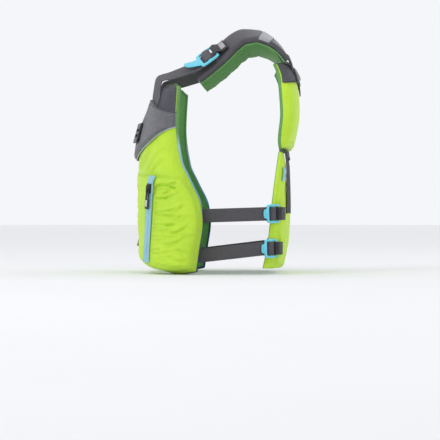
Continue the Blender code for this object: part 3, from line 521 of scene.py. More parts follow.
def swept(name, rings, material, flip=False, closed=False, sharp=50):
    """Tube through rings of points, capped at both ends unless it closes on itself."""
    size, count = len(rings[0]), len(rings)
    verts = [tuple(p) for ring in rings for p in ring]
    middles = [np.mean([tuple(p) for p in ring], axis=0) for ring in rings]
    run = np.concatenate([[0], np.cumsum([np.linalg.norm(b - a) for a, b in zip(middles, middles[1:])])])
    first = [np.array(p) for p in rings[0]]
    round_it = np.concatenate([[0], np.cumsum([np.linalg.norm(b - a) for a, b in zip(first, first[1:])])])
    uvs = [(float(round_it[k]), float(run[n])) for n in range(count) for k in range(size)]
    faces = []
    for n in range(count if closed else count - 1):
        for k in range(size):
            a, b = n * size + k, n * size + (k + 1) % size
            c, d = ((n + 1) % count) * size + (k + 1) % size, ((n + 1) % count) * size + k
            faces.append((a, b, c, d))
    if not closed:
        last = (count - 1) * size
        faces += [tuple(reversed(range(size))), tuple(range(last, last + size))]
    return make_piece(name, verts, faces, material, flip, uvs, sharp=sharp)


def spline(points, step):
    """Points about step apart on a smooth curve through the given ones (any number of values each)."""
    p = [np.array(x, float) for x in points]
    p = [2 * p[0] - p[1]] + p + [2 * p[-1] - p[-2]]
    out = []
    for a, b, c, d in zip(p, p[1:], p[2:], p[3:]):
        gap = np.linalg.norm((c - b)[:3])
        count = max(1, int(round(gap / step)))
        for n in range(count):
            t = n / count
            out.append(0.5 * (2 * b + (c - a) * t + (2 * a - 5 * b + 4 * c - d) * t ** 2
                              + (3 * b - a - 3 * c + d) * t ** 3))
    out.append(p[-2])
    return out


def webbing(name, path, across, width, material, flip=False, thick=WEB, step=0.002):
    """Woven tape with rounded selvedges along a path; across is its width direction at each point."""
    turns = across if isinstance(across, list) else [across] * len(path)
    both = spline([(*p, *a) for p, a in zip(path, turns)], step)
    places, sides = [Vector(b[:3]) for b in both], [Vector(b[3:]) for b in both]
    edge = thick * 0.45
    half, high = width / 2, thick / 2
    shape = [(-half, 0), (-half + edge * 0.3, -high * 0.75), (-half + edge, -high), (-half * 0.5, -high),
             (0, -high), (half * 0.5, -high), (half - edge, -high), (half - edge * 0.3, -high * 0.75),
             (half, 0)]
    shape += [(x, -y) for x, y in reversed(shape[1:-1])]
    rings = []
    for n, at in enumerate(places):
        along = (places[min(n + 1, len(places) - 1)] - places[max(n - 1, 0)]).normalized()
        side = (sides[n] - along * sides[n].dot(along)).normalized()
        up = along.cross(side).normalized()
        rings.append([at + side * x + up * y for x, y in shape])
    return swept(name, rings, material, flip, sharp=40)


def stitch_mesh(name, rows, material, flip=False, length=0.0026, gap=0.0014, radius=0.00032):
    """Rows of thread stitches. A row is a list of (point, normal)."""
    verts, faces = [], []
    for row in rows:
        run = spline([(*p, *n) for p, n in row], (length + gap) / 4)
        places, ups = [Vector(r[:3]) for r in run], [Vector(r[3:]).normalized() for r in run]
        travelled, start = 0.0, 0
        for n in range(1, len(places)):
            travelled += (places[n] - places[n - 1]).length
            if travelled < length + gap:
                continue
            a, b, up = places[start], places[n], ups[n]
            along = (b - a).normalized()
            side = along.cross(up).normalized()
            b = a + along * length
            base = len(verts)
            for t, swell in ((0, 0.35), (0.25, 1), (0.75, 1), (1, 0.35)):
                centre = a.lerp(b, t) + up * radius * 0.5 * swell
                verts += [centre + (side * math.cos(q) + up * math.sin(q)) * radius * swell
                          for q in np.linspace(0, 2 * math.pi, 5)[:-1]]
            for r in range(3):
                for k in range(4):
                    m = (k + 1) % 4
                    low = base + r * 4
                    faces.append((low + k, low + m, low + 4 + m, low + 4 + k))
            faces += [(base + 3, base + 2, base + 1, base), tuple(base + 12 + k for k in range(4))]
            travelled, start = 0.0, n
    return make_piece(name, verts, faces, material, flip, sharp=80)


def row_on(surface, line, off=0.0002):
    """(point, normal) along a line of (u, v) points on a surface."""
    return [(surface.at(u, v, off), surface.normal(u, v)) for u, v in line]


def straight(a, b, count=24):
    """Points of the line from a to b that divide it into count equal steps."""
    return [(a[0] + (b[0] - a[0]) * k, a[1] + (b[1] - a[1]) * k) for k in np.linspace(0, 1, count + 1)]


def lattice(name, stops, filled, place, material, flip=False, levels=2, crease=0.35):
    """Moulded piece made of the filled cells of a box lattice, rounded by subdivision."""
    xs, ys, zs = stops
    verts, index, faces = [], {}, []

    def corner(i, j, k):
        if (i, j, k) not in index:
            index[i, j, k] = len(verts)
            verts.append(place(xs[i], ys[j], zs[k]))
        return index[i, j, k]

    cells = {(i, j, k) for i in range(len(xs) - 1) for j in range(len(ys) - 1) for k in range(len(zs) - 1)
             if filled((xs[i] + xs[i + 1]) / 2, (ys[j] + ys[j + 1]) / 2, (zs[k] + zs[k + 1]) / 2)}
    sides = [((1, 0, 0), [(1, 0, 0), (1, 1, 0), (1, 1, 1), (1, 0, 1)]),
             ((-1, 0, 0), [(0, 0, 0), (0, 0, 1), (0, 1, 1), (0, 1, 0)]),
             ((0, 1, 0), [(0, 1, 0), (0, 1, 1), (1, 1, 1), (1, 1, 0)]),
             ((0, -1, 0), [(0, 0, 0), (1, 0, 0), (1, 0, 1), (0, 0, 1)]),
             ((0, 0, 1), [(0, 0, 1), (1, 0, 1), (1, 1, 1), (0, 1, 1)]),
             ((0, 0, -1), [(0, 0, 0), (0, 1, 0), (1, 1, 0), (1, 0, 0)])]
    for i, j, k in sorted(cells):
        for (di, dj, dk), corners in sides:
            if (i + di, j + dj, k + dk) not in cells:
                faces.append([corner(i + a, j + b, k + c) for a, b, c in corners])
    return make_piece(name, verts, faces, material, flip, levels=levels, crease=crease)


def cloth_area(points):
    """Area of a grid of cloth in square metres."""
    a, b = points[1:, :-1] - points[:-1, :-1], points[:-1, 1:] - points[:-1, :-1]
    c, d = points[:-1, 1:] - points[1:, 1:], points[1:, :-1] - points[1:, 1:]
    return sum(float(np.linalg.norm(np.cross(*pair), axis=2).sum()) for pair in ((a, b), (c, d))) / 2


def declare_sheet(points):
    """Work out the width, height and area that a piece's grid of points was cut to; nothing is done with them.
    """
    lengths = flat_lengths(points)
    width = float(np.ptp(lengths[..., 0]))
    height = float(np.ptp(lengths[..., 1]))
    area = min(cloth_area(points), width * height)


# ---- materials ----
class Shade:
    """A Principled material whose colour, gloss and relief come from a few textures, in metres."""

    def __init__(self, name, roughness, **sockets):
        self.material = bpy.data.materials.new(name)
        self.material.use_nodes = True
        self.nodes, self.links = self.material.node_tree.nodes, self.material.node_tree.links
        self.shader = self.nodes["Principled BSDF"]
        self.shader.inputs["Roughness"].default_value = roughness
        for key, value in sockets.items():
            self.shader.inputs[key.replace("_", " ").title()].default_value = value

    def node(self, kind, **values):
        made = self.nodes.new("ShaderNode" + kind)
        for key, value in values.items():
            setattr(made, key, value)
        return made

    def feed(self, socket, value):
        if isinstance(value, bpy.types.NodeSocket):
            self.links.new(value, socket)
        else:
            socket.default_value = value

    def flat(self):
        return self.node("UVMap", uv_map="flat").outputs["UV"]

    def solid(self):
        return self.node("TexCoord").outputs["Object"]

    def turned(self, coords, angle=0.0, scale=(1, 1, 1)):
        made = self.node("Mapping")
        self.links.new(coords, made.inputs["Vector"])
        made.inputs["Rotation"].default_value = (0, 0, angle)
        made.inputs["Scale"].default_value = scale
        return made.outputs["Vector"]

    def noise(self, coords, size, detail=3.0, roughness=0.5):
        made = self.node("TexNoise")
        self.links.new(coords, made.inputs["Vector"])
        made.inputs["Scale"].default_value = 1 / size
        made.inputs["Detail"].default_value = detail
        made.inputs["Roughness"].default_value = roughness
        return made.outputs["Fac"]

    def wave(self, coords, period, direction="X", wobble=0.0):
        """0 to 1 bands, one every period metres."""
        made = self.node("TexWave", bands_direction=direction)
        self.links.new(coords, made.inputs["Vector"])
        made.inputs["Scale"].default_value = math.pi / 10 / period
        made.inputs["Distortion"].default_value = wobble
        return made.outputs["Fac"]

    def cells(self, coords, size, feature="F1"):
        made = self.node("TexVoronoi", feature=feature)
        self.links.new(coords, made.inputs["Vector"])
        made.inputs["Scale"].default_value = 1 / size
        return made.outputs["Distance"]

    def math(self, operation, a, b=0.0):
        made = self.node("Math", operation=operation)
        self.feed(made.inputs[0], a)
        self.feed(made.inputs[1], b)
        return made.outputs["Value"]

    # the sums that the looks use most, so that shade.plus(a, b) is shade.math("ADD", a, b)
    plus = functools.partialmethod(math, "ADD")
    minus = functools.partialmethod(math, "SUBTRACT")
    times = functools.partialmethod(math, "MULTIPLY")
    most = functools.partialmethod(math, "MAXIMUM")

    def between(self, value, low, high, to_low=0.0, to_high=1.0):
        made = self.node("MapRange")
        self.links.new(value, made.inputs["Value"])
        for key, number in zip(("From Min", "From Max", "To Min", "To Max"), (low, high, to_low, to_high)):
            made.inputs[key].default_value = number
        return made.outputs["Result"]

    def mix(self, share, first, second):
        made = self.node("Mix", data_type="RGBA")
        self.feed(made.inputs["Factor"], share)
        for key, value in ((6, first), (7, second)):
            self.feed(made.inputs[key], value if isinstance(value, bpy.types.NodeSocket) else (*value, 1))
        return made.outputs[2]

    def finish(self, colour, relief=None, depth=0.0002, gloss=None):
        self.links.new(colour, self.shader.inputs["Base Color"])
        if gloss is not None:
            self.links.new(gloss, self.shader.inputs["Roughness"])
        if relief is not None:
            bump = self.node("Bump")
            bump.inputs["Distance"].default_value = depth
            self.links.new(relief, bump.inputs["Height"])
            self.links.new(bump.outputs["Normal"], self.shader.inputs["Normal"])
        return self.material


def weave(shade, flat, pitch):
    """Over-and-under threads: 0 to 1."""
    a, b = shade.wave(flat, pitch, "X"), shade.wave(flat, pitch, "Y")
    return shade.most(shade.times(a, shade.minus(1.0, b)), shade.times(b, shade.minus(1.0, a)))


def ripstop(name, light, deep, grid_pitch=0.0045):
    """Plain-woven nylon with a raised reinforcing grid, slight fading and creases."""
    shade = Shade(name, 0.62, sheen_weight=0.15, sheen_roughness=0.4)
    flat, solid = shade.flat(), shade.solid()
    threads = weave(shade, flat, 0.0009)
    lines = shade.most(shade.math("POWER", shade.wave(flat, grid_pitch, "X"), 14),
                       shade.math("POWER", shade.wave(flat, grid_pitch, "Y"), 14))
    fade = shade.noise(solid, 0.045, 4)
    share = shade.plus(shade.between(fade, 0.35, 0.70, 0.0, 0.42), shade.times(lines, 0.22))
    share = shade.minus(share, shade.times(threads, 0.12))
    crumple = shade.noise(solid, 0.011, 3, 0.6)
    relief = shade.plus(shade.times(threads, 0.10), shade.times(lines, 0.16))
    relief = shade.plus(relief, shade.times(crumple, 1.0))
    gloss = shade.between(shade.noise(solid, 0.02, 2), 0.3, 0.7, 0.52, 0.70)
    return shade.finish(shade.mix(share, light, deep), relief, 0.0011, gloss)


def melange(name, light, dark, pitch=0.0010, spread=(0.36, 0.66), roughness=0.88):
    """Heather cloth: light and dark yarns mixed along the weft."""
    shade = Shade(name, roughness, sheen_weight=0.2, sheen_roughness=0.5)
    flat = shade.flat()
    streaks = shade.noise(shade.turned(flat, 0.0, (0.16, 1, 1)), pitch, 4, 0.7)
    slubs = shade.noise(shade.turned(flat, 0.0, (0.3, 1.4, 1)), pitch * 5, 2)
    share = shade.between(shade.plus(shade.times(streaks, 0.75),
                                     shade.times(slubs, 0.25)), *spread)
    threads = weave(shade, flat, pitch)
    relief = shade.plus(threads, shade.times(streaks, 0.6))
    return shade.finish(shade.mix(share, dark, light), relief, 0.00025)


def woven_tape(name, dark, light, rib=0.0016, roughness=0.72):
    """Webbing: herringbone ribs along the tape, paler where the threads stand up."""
    shade = Shade(name, roughness, sheen_weight=0.12)
    flat = shade.flat()
    ribs = shade.wave(shade.turned(flat, math.radians(38)), rib, "X")
    cross = shade.wave(shade.turned(flat, math.radians(-38)), rib, "X")
    fold = shade.wave(flat, rib * 5, "X")
    side = shade.math("GREATER_THAN", fold, 0.5)
    threads = shade.plus(shade.times(ribs, side),
                         shade.times(cross, shade.minus(1.0, side)))
    fuzz = shade.noise(shade.solid(), 0.003, 3)
    share = shade.plus(shade.times(threads, 0.5), shade.between(fuzz, 0.3, 0.7, 0, 0.4))
    return shade.finish(shade.mix(share, dark, light), threads, 0.0003)


def knit_lining(name, dark, light):
    """Brushed lining with tiny pores."""
    shade = Shade(name, 0.85, sheen_weight=0.25)
    flat = shade.flat()
    pores = shade.cells(flat, 0.0022)
    share = shade.between(pores, 0.1, 0.6, 0.0, 0.8)
    soft = shade.noise(shade.solid(), 0.03, 3)
    colour = shade.mix(shade.between(soft, 0.35, 0.65, 0, 0.35), shade.mix(share, dark, light), dark)
    return shade.finish(colour, pores, 0.0004)


def neoprene(name, dark, light):
    """Foam rubber with a fine stretch-knit face."""
    shade = Shade(name, 0.60, sheen_weight=0.35, sheen_roughness=0.35)
    solid = shade.solid()
    grain = shade.noise(solid, 0.0008, 2)
    tone_mask = shade.noise(solid, 0.035, 4)
    share = shade.plus(shade.between(tone_mask, 0.4, 0.75, 0, 0.5), shade.between(grain, 0.3, 0.7, 0, 0.25))
    gloss = shade.between(tone_mask, 0.3, 0.7, 0.52, 0.72)
    return shade.finish(shade.mix(share, dark, light), grain, 0.00012, gloss)


def moulded(name, base, deep, roughness=0.38):
    """Injection-moulded plastic with a faint satin grain and scuffs."""
    shade = Shade(name, roughness, coat_weight=0.12)
    solid = shade.solid()
    grain, scuff = shade.noise(solid, 0.0006, 2), shade.noise(solid, 0.006, 5, 0.7)
    gloss = shade.between(scuff, 0.35, 0.7, roughness - 0.08, roughness + 0.18)
    colour = shade.mix(shade.between(scuff, 0.45, 0.75, 0, 0.5), base, deep)
    return shade.finish(colour, grain, 0.00006, gloss)


def edge_tape(name, bands):
    """Folded binding whose colour changes with height, with painted shade between its ribs; bands are (height,
    colour).
    """
    shade = Shade(name, 0.75, sheen_weight=0.15)
    height = shade.node("SeparateXYZ")
    shade.links.new(shade.solid(), height.inputs["Vector"])
    colour = bands[0][1]
    for (low, _), (high, upper) in zip(bands, bands[1:]):
        colour = shade.mix(shade.between(height.outputs["Z"], low, high), colour, upper)
    flat = shade.flat()
    ribs = shade.wave(flat, 0.0012, "Y")
    fuzz = shade.noise(shade.solid(), 0.004, 3)
    # painted shade: the grooves between the ribs are darkened towards near-black, with random fuzz added on top
    shadow = shade.times(shade.minus(1.0, ribs), 0.25)
    tone_mask = shade.plus(shadow, shade.between(fuzz, 0.4, 0.8, 0, 0.2))
    colour = shade.mix(tone_mask, colour, (0.02, 0.03, 0.05))
    return shade.finish(colour, ribs, 0.0002)


def reflective(name):
    """Glass-bead film: pale, slightly metallic, with a fine honeycomb."""
    shade = Shade(name, 0.38, metallic=0.25)
    comb = shade.cells(shade.flat(), 0.0024, "DISTANCE_TO_EDGE")
    share = shade.between(comb, 0.02, 0.12, 0.0, 1.0)
    return shade.finish(shade.mix(share, SILVER_DARK, SILVER), comb, 0.0002)


def thread(name, base, deep):
    shade = Shade(name, 0.7, sheen_weight=0.1)
    twist = shade.wave(shade.turned(shade.solid(), 0.7), 0.0006)
    return shade.finish(shade.mix(shade.times(twist, 0.5), base, deep), twist, 0.0001)


# colour by height of the binding of the fronts, which the pads' lining shares
EDGE_BANDS = [(0, NAVY), (0.11, NAVY), (0.135, TAPE_BLUE), (0.235, TAPE_LIGHT), (0.262, GREEN_LIGHT)]


def make_materials():
    return {
        "lime": ripstop("lime_ripstop", LIME, LIME_DEEP),
        "heather": melange("heather_cloth", HEATHER_LIGHT, HEATHER_DARK),
        "yoke": melange("yoke_cloth", YOKE_LIGHT, YOKE_GREY, 0.0008),
        "charcoal_web": woven_tape("charcoal_webbing", CHARCOAL, CHARCOAL_LIGHT),
        "black_web": woven_tape("black_webbing", BLACK, BLACK_LIGHT),
        "lining": knit_lining("green_lining", GREEN, GREEN_LIGHT),
        "neoprene": neoprene("pad_neoprene", CHARCOAL, CHARCOAL_LIGHT),
        "sky": moulded("sky_plastic", SKY, SKY_DEEP),
        "black": moulded("black_plastic", BLACK, BLACK_LIGHT, 0.42),
        "inlay": moulded("pull_inlay", (0.62, 0.63, 0.66), (0.40, 0.41, 0.44), 0.5),
        "zip_tape": woven_tape("zip_tape", TAPE_BLUE, TAPE_LIGHT, 0.0011, 0.65),
        "zip_coil": moulded("zip_coil", TAPE_LIGHT, TAPE_BLUE, 0.42),
        "black_tape": woven_tape("black_tape", BLACK, BLACK_LIGHT, 0.0011),
        "binding": edge_tape("edge_binding", EDGE_BANDS),
        "back_binding": edge_tape("back_binding", [(0, LIME_DEEP), (0.20, LIME_DEEP), (0.24, GREEN_LIGHT)]),
        "piping": woven_tape("chest_piping", (0.45, 0.55, 0.62), (0.60, 0.70, 0.76), 0.0008),
        "sky_tab": woven_tape("sky_tab", TAPE_BLUE, TAPE_LIGHT, 0.0010),
        "film": reflective("reflective_film"),
        "mesh": woven_tape("mesh_yarn", (0.020, 0.022, 0.024), (0.075, 0.080, 0.082), 0.0010),
        "label": melange("plain_label", (0.60, 0.60, 0.62), (0.34, 0.34, 0.37), 0.0007),
        "lime_thread": thread("lime_thread", LIME_DEEP, (0.22, 0.40, 0.01)),
        "grey_thread": thread("grey_thread", CHARCOAL_LIGHT, CHARCOAL),
        "black_thread": thread("black_thread", BLACK_LIGHT, BLACK),
    }


# ---- front halves ----
def front_surface():
    """Lime cover of the left front half, settled like a stuffed panel."""
    us, vs = eased(56), eased(100)
    start = Surface(us, vs, grid(us, vs, lambda u, v: front_skin(u, v, SKIN - 0.0016, SKIN)))
    uneven = ripples(start, 0.030, 0.0010, (1, 1, 1.6), 1)
    points = start.points + uneven * edge_weight(us, vs, 0.06, 0.05)[..., None]
    free = edge_weight(us, vs, 0.05, 0.03)
    done = settle(Surface(us, vs, points), free, (0.030, 0.020), 1.5, 0.0042)
    done = Surface(us, vs, done.points + creases(done, cover_creases(), 0.0025) * free[..., None])
    # under the pocket and the chest panel the cover stays below them
    low = np.einsum("ijk,ijk->ij", done.points - start.points, start.normals)
    covered = ((us[:, None] > POCKET_U[0] - 0.01) & (us[:, None] < POCKET_U[1] + 0.01)
               & (vs[None, :] < POCKET_V[1] + 0.01)) | (vs[None, :] > 0.575 + 0.2 * us[:, None] ** 1.6)
    excess = np.where(covered, np.maximum(low - 0.0012, 0), 0)
    return Surface(us, vs, done.points - excess[..., None] * start.normals)


def flat_front(us, vs, t, grow):
    return grid(us, vs, lambda u, v: wrap(*front_map(u, v, grow), t, False))


def make_front_cover(side, flip, cover, looks):
    us, vs = cover.us, cover.vs
    base = flat_front(us, vs, LINING + LAYER_GAP, SKIN)
    middle = flat_front(us, vs, LINING + LAYER_GAP + WALL * 0.5, SKIN + 0.0006)
    body = f"front_{side}"
    thing = layered(f"front_cover_{side}", [cover.points, middle, base], looks["lime"], flip)
    place_piece(thing, body, [f"front_shell_{side}", f"front_foam_{side}"])
    inside = ripples(Surface(us, vs, flat_front(us, vs, 0.0002, SKIN)), 0.035, 0.0006, seed=4)
    lining = flat_front(us, vs, 0.0002, SKIN) + np.abs(inside)
    thing = layered(f"front_inner_{side}", [lining, flat_front(us, vs, LINING, SKIN)], looks["lining"], flip)
    place_piece(thing, body, [f"front_lining_{side}"])
    declare_sheet(lining)
    make_front_binding(side, flip, looks)


def make_front_binding(side, flip, looks):
    """Folded tape all round the panel's edge, over the lining's and the cover's raw edges."""
    outline = panel_outline(0, 50, 110)
    low = [wrap(*front_map(u, v, SKIN), -0.0002, False) for u, v in outline]
    high = [wrap(*front_map(u, v, SKIN), LINING + WALL * 1.1, False) for u, v in outline]
    rings = edge_rings(low, high, 0.0011)
    thing = swept(f"front_binding_{side}", rings, looks["binding"], flip, closed=True)
    place_piece(thing, f"front_{side}")


def panel_outline(first, across, up):
    """(u, v) points once round a panel whose u runs from first to 1."""
    return ([(u, 0) for u in np.linspace(first, 1, across)[:-1]]
            + [(1, v) for v in np.linspace(0, 1, up)[:-1]]
            + [(u, 1) for u in np.linspace(1, first, across)[:-1]]
            + [(first, v) for v in np.linspace(1, 0, up)[:-1]])


def edge_rings(low, high, proud):
    """Rings of a tape that wraps an edge between a low and a high line of points, both closed loops."""
    rings = []
    count = len(low)
    for n in range(count):
        along = (low[(n + 1) % count] - low[n - 1]).normalized()
        up = (high[n] - low[n]).normalized()
        out = along.cross(up).normalized()
        tall = (high[n] - low[n]).length
        shape = [(-0.0028, -0.0007), (0.0004, -0.0010), (proud, 0), (proud * 1.25, tall * 0.5), (proud, tall),
                 (0.0004, tall + 0.0006), (0.0004, tall - 0.0001), (0.0001, tall * 0.5), (-0.0028, -0.0001)]
        rings.append([low[n] + out * a + up * b for a, b in shape])
    return rings


def zip_share(v):
    """Where the pocket's zip crosses height share v, as a share u of the front half."""
    z = front_map(0.5, v, SKIN)[1]
    k = (z - ZIP_LOW.z) / (ZIP_HIGH.z - ZIP_LOW.z)
    point = ZIP_LOW.lerp(ZIP_HIGH, min(max(k, -0.05), 1.05))
    s = facing(point, z)[0]
    first, last = front_map(0, v)[0], front_map(1, v)[0]
    return (s - first) / (last - first)


def pocket_surface():
    """Bellows pocket: flat along its zip, gathered behind it, with a curved dart at its top."""
    us, vs = eased(64, *POCKET_U), eased(96, *POCKET_V)
    start = Surface(us, vs, grid(us, vs, pocket_face))
    zips = np.array([zip_share(v) for v in vs])
    behind = np.clip((us[:, None] - zips[None, :] - 0.045) / 0.10, 0, 1)
    ahead = np.clip((zips[None, :] - us[:, None] - 0.045) / 0.10, 0, 1)
    calm = np.maximum(behind, ahead * 0.5)
    calm = calm * calm * (3 - 2 * calm)
    edge = edge_weight(us, vs, 0.07, 0.035)
    folds = ripples(start, 0.017, 0.0030, (0.35, 0.35, 1.6), 2)
    folds += ripples(start, 0.008, 0.0020, (0.5, 0.5, 1.4), 3)
    points = start.points + folds * (edge * calm)[..., None]
    done = settle(Surface(us, vs, points), edge * calm, (0.035, 0.085), 0.9, 0.0062, 24)
    arch = [(0.66 + 0.24 * (1 - math.cos(a)) / 2, 0.418 + 0.052 * math.sin(a))
            for a in np.linspace(0.0, 2.6, 14)]
    slit = [(0.30, v) for v in np.linspace(0.20, 0.44, 12)]
    shape = press(done, arch, 0.0050, 0.0022) + press(done, slit, 0.0042, 0.0018)
    shape += creases(done, pocket_creases(), 0.0027)
    for n in range(7):
        # the gathers that fan out under the dart
        at = arch[2 + n]
        fan = [at, (at[0] + 0.006 * (n - 3), at[1] - 0.020 - 0.010 * (n % 2))]
        shape += press(done, fan, 0.0013, 0.0016)
    corner = [[(0.93, 0.05), (0.78, 0.10)], [(0.93, 0.09), (0.80, 0.16)], [(0.90, 0.03), (0.72, 0.05)]]
    for line in corner:
        shape += press(done, line, 0.0022, 0.0026)
    # the top edge sinks into the cover, so no step shows there
    sink = np.clip((vs[None, :] - POCKET_V[1] + 0.030) / 0.030, 0, 1)[..., None] ** 2
    return Surface(us, vs, done.points + shape * edge[..., None] - done.normals * 0.0030 * sink)


def creases(surface, lines, depth):
    """Sharp folds along lines of (u, v) points, each with a soft ridge on its upper side."""
    total = np.zeros_like(surface.points)
    for n, line in enumerate(lines):
        strong = depth * (0.65 + 0.35 * math.sin(n * 2.1))
        total += press(surface, line, strong, 0.0016 + 0.0005 * (n % 3))
        ridge = [(u, v + 0.011) for u, v in line]
        total -= press(surface, ridge, strong * 0.8, 0.0026)
    return total


def pocket_creases():
    """Folds that run back from the zip, and longer ones that sag across the bellows."""
    rng = np.random.default_rng(5)
    lines = []
    for v in np.linspace(0.10, 0.455, 17):
        v = v + rng.uniform(-0.008, 0.008)
        start = zip_share(v) + 0.055 + rng.uniform(0, 0.03)
        long = rng.uniform(0.10, 0.30) * (0.7 if v < 0.25 else 1)
        rise_by, sag = rng.uniform(0.004, 0.026), rng.uniform(-0.006, 0.004)
        lines.append([(start + long * k, v + rise_by * k + sag * math.sin(math.pi * k))
                      for k in np.linspace(0, 1, 6)])
    for v in np.linspace(0.13, 0.43, 9):
        v = v + rng.uniform(-0.012, 0.012)
        start, long = rng.uniform(0.74, 0.80), rng.uniform(0.08, 0.15)
        lines.append([(start + long * k, v + 0.030 * k * k) for k in np.linspace(0, 1, 5)])
    return [[(min(u, 0.96), v) for u, v in line] for line in lines]


def cover_creases():
    """Folds that pull from the armhole down towards the zip, above the pocket."""
    lines = []
    for start, end, bow in (((0.93, 0.66), (0.60, 0.535), 0.012), ((0.90, 0.60), (0.66, 0.525), 0.008),
                            ((0.84, 0.72), (0.52, 0.60), 0.014), ((0.50, 0.61), (0.36, 0.53), -0.006),
                            ((0.70, 0.64), (0.47, 0.545), 0.010), ((0.30, 0.575), (0.22, 0.525), 0.004)):
        lines.append([(start[0] + (end[0] - start[0]) * k, start[1] + (end[1] - start[1]) * k
                       + bow * math.sin(math.pi * k)) for k in np.linspace(0, 1, 8)])
    return lines


def make_pocket(side, flip, pocket, looks):
    us, vs = pocket.us, pocket.vs
    low = grid(us, vs, lambda u, v: front_skin(u, v, SKIN + 0.0005, SKIN))
    body = f"front_{side}"
    thing = layered(f"pocket_{side}", [low, pocket.points], looks["lime"], flip)
    place_piece(thing, body, [f"cargo_pocket_{side}"])
    u0, u1 = POCKET_U[0] + STITCH_INSET_U, POCKET_U[1] - STITCH_INSET_U
    v0, v1 = POCKET_V[0] + STITCH_INSET_V, POCKET_V[1] - STITCH_INSET_V
    sides = [((u0, v0), (u1, v0), 60), ((u1, v0), (u1, v1), 90),
             ((u1, v1), (u0, v1), 60), ((u0, v1), (u0, v0), 90)]
    rows = [row_on(pocket, straight(*ends)) for ends in sides]
    for offset in (-0.072, 0.072):
        rows.append(row_on(pocket, [(zip_share(v) + offset, v) for v in np.linspace(0.075, 0.475, 60)]))
    thing = stitch_mesh(f"pocket_stitching_{side}", rows, looks["lime_thread"], flip)
    place_piece(thing, body)
    make_pocket_zip(side, flip, looks)


def pocket_normal():
    """Outward direction at the middle of the pocket's zip, square to the zip."""
    z = (ZIP_LOW.z + ZIP_HIGH.z) / 2
    point = ZIP_LOW.lerp(ZIP_HIGH, 0.5)
    _, _, _, nx, ny = facing(point, z)
    along = (ZIP_HIGH - ZIP_LOW).normalized()
    out = Vector((nx, ny, 0))
    return (out - along * out.dot(along)).normalized()


def make_pocket_zip(side, flip, looks):
    """Light-blue zip: two tapes with a closed coil between them."""
    along, out = (ZIP_HIGH - ZIP_LOW).normalized(), pocket_normal()
    right = along.cross(out).normalized()
    length, half = (ZIP_HIGH - ZIP_LOW).length, POCKET_ZIP_WIDTH / 2

    def at(x, y, z):
        drop = 0.25 * max(0, y - length)
        return ZIP_LOW + right * x + along * y + out * (z - drop)

    shape = [(-half, 0.0), (-half + 0.0004, TAPE), (-0.0036, TAPE), (-0.0026, TAPE * 1.3), (0, TAPE * 0.9),
             (0.0026, TAPE * 1.3), (0.0036, TAPE), (half - 0.0004, TAPE), (half, 0.0)]
    rings = [[at(x, y, z + 0.0003) for x, z in shape] for y in np.linspace(-0.008, length + 0.012, 60)]
    body = f"front_{side}"
    tape = swept(f"pocket_zip_tape_{side}", rings, looks["zip_tape"], flip)
    place_piece(tape, body, [f"pocket_zip_{side}"])
    turns = int(length / 0.0013)
    path = []
    for n in range(turns * 8):
        a = n / 8 * 2 * math.pi
        path.append(at(0.0021 * math.sin(a), length * n / (turns * 8), TAPE + 0.0006 + 0.0007 * math.cos(a)))
    thing = tube(f"pocket_zip_coil_{side}", path, 0.00042, looks["zip_coil"], flip, 5)
    place_piece(thing, body)
    rows = [[(at(x, y, TAPE + 0.0004), out) for y in np.linspace(-0.006, length + 0.008, 40)]
            for x in (-half + 0.0022, half - 0.0022)]
    thing = stitch_mesh(f"pocket_zip_stitching_{side}", rows, looks["lime_thread"], flip)
    place_piece(thing, body)


def tube(name, path, radius, material, flip=False, sides=8):
    """Round tube along a path, with its ends capped."""
    rings, side = [], None
    for n, p in enumerate(path):
        along = (path[min(n + 1, len(path) - 1)] - path[max(n - 1, 0)]).normalized()
        if side is None:
            side = along.orthogonal().normalized()
        side = (side - along * side.dot(along)).normalized()
        up = along.cross(side)
        rings.append([p + (side * math.cos(a) + up * math.sin(a)) * radius
                      for a in np.linspace(0, 2 * math.pi, sides + 1)[:-1]])
    return swept(name, rings, material, flip, sharp=80)


def chest_surface():
    ks, ws = eased(52), eased(44)
    start = Surface(ks, ws, grid(ks, ws, lambda k, w: chest_place(k, w, CHEST_STANDOFF)))
    edge = edge_weight(ks, ws, 0.08, 0.08)
    points = start.points + ripples(start, 0.026, 0.0014, (0.7, 0.7, 1.2), 5) * edge[..., None]
    return settle(Surface(ks, ws, points), edge, (0.020, 0.020), 0.6, 0.0022)


def make_chest(side, flip, chest, looks):
    body = f"front_{side}"
    thing = layered(f"chest_cover_{side}", [chest.points, chest.moved(0.0014)], looks["heather"], flip)
    place_piece(thing, body, [f"chest_panel_{side}"])
    declare_sheet(chest.points)
    path = [chest.at(k, 0.004, 0.0014) - Vector((0, 0, 0.0006)) for k in np.linspace(0, 1, 60)]
    thing = tube(f"chest_piping_{side}", path, 0.0011, looks["piping"], flip)
    place_piece(thing, body)
    lines = [straight((0.03, w), (0.97, w), 59) for w in (0.055, 0.955, 0.925)]
    lines += [straight((k, 0.06), (k, 0.95), 39) for k in (0.03, 0.965)]
    rows = [row_on(chest, line, 0.0016) for line in lines]
    thing = stitch_mesh(f"chest_stitching_{side}", rows, looks["grey_thread"], flip)
    place_piece(thing, body)
    hem = [chest.at(k, 0.985, 0.0012) for k in np.linspace(0.0, 1.0, 50)]
    thing = tube(f"chest_opening_hem_{side}", hem, 0.0013, looks["yoke"], flip)
    place_piece(thing, body)


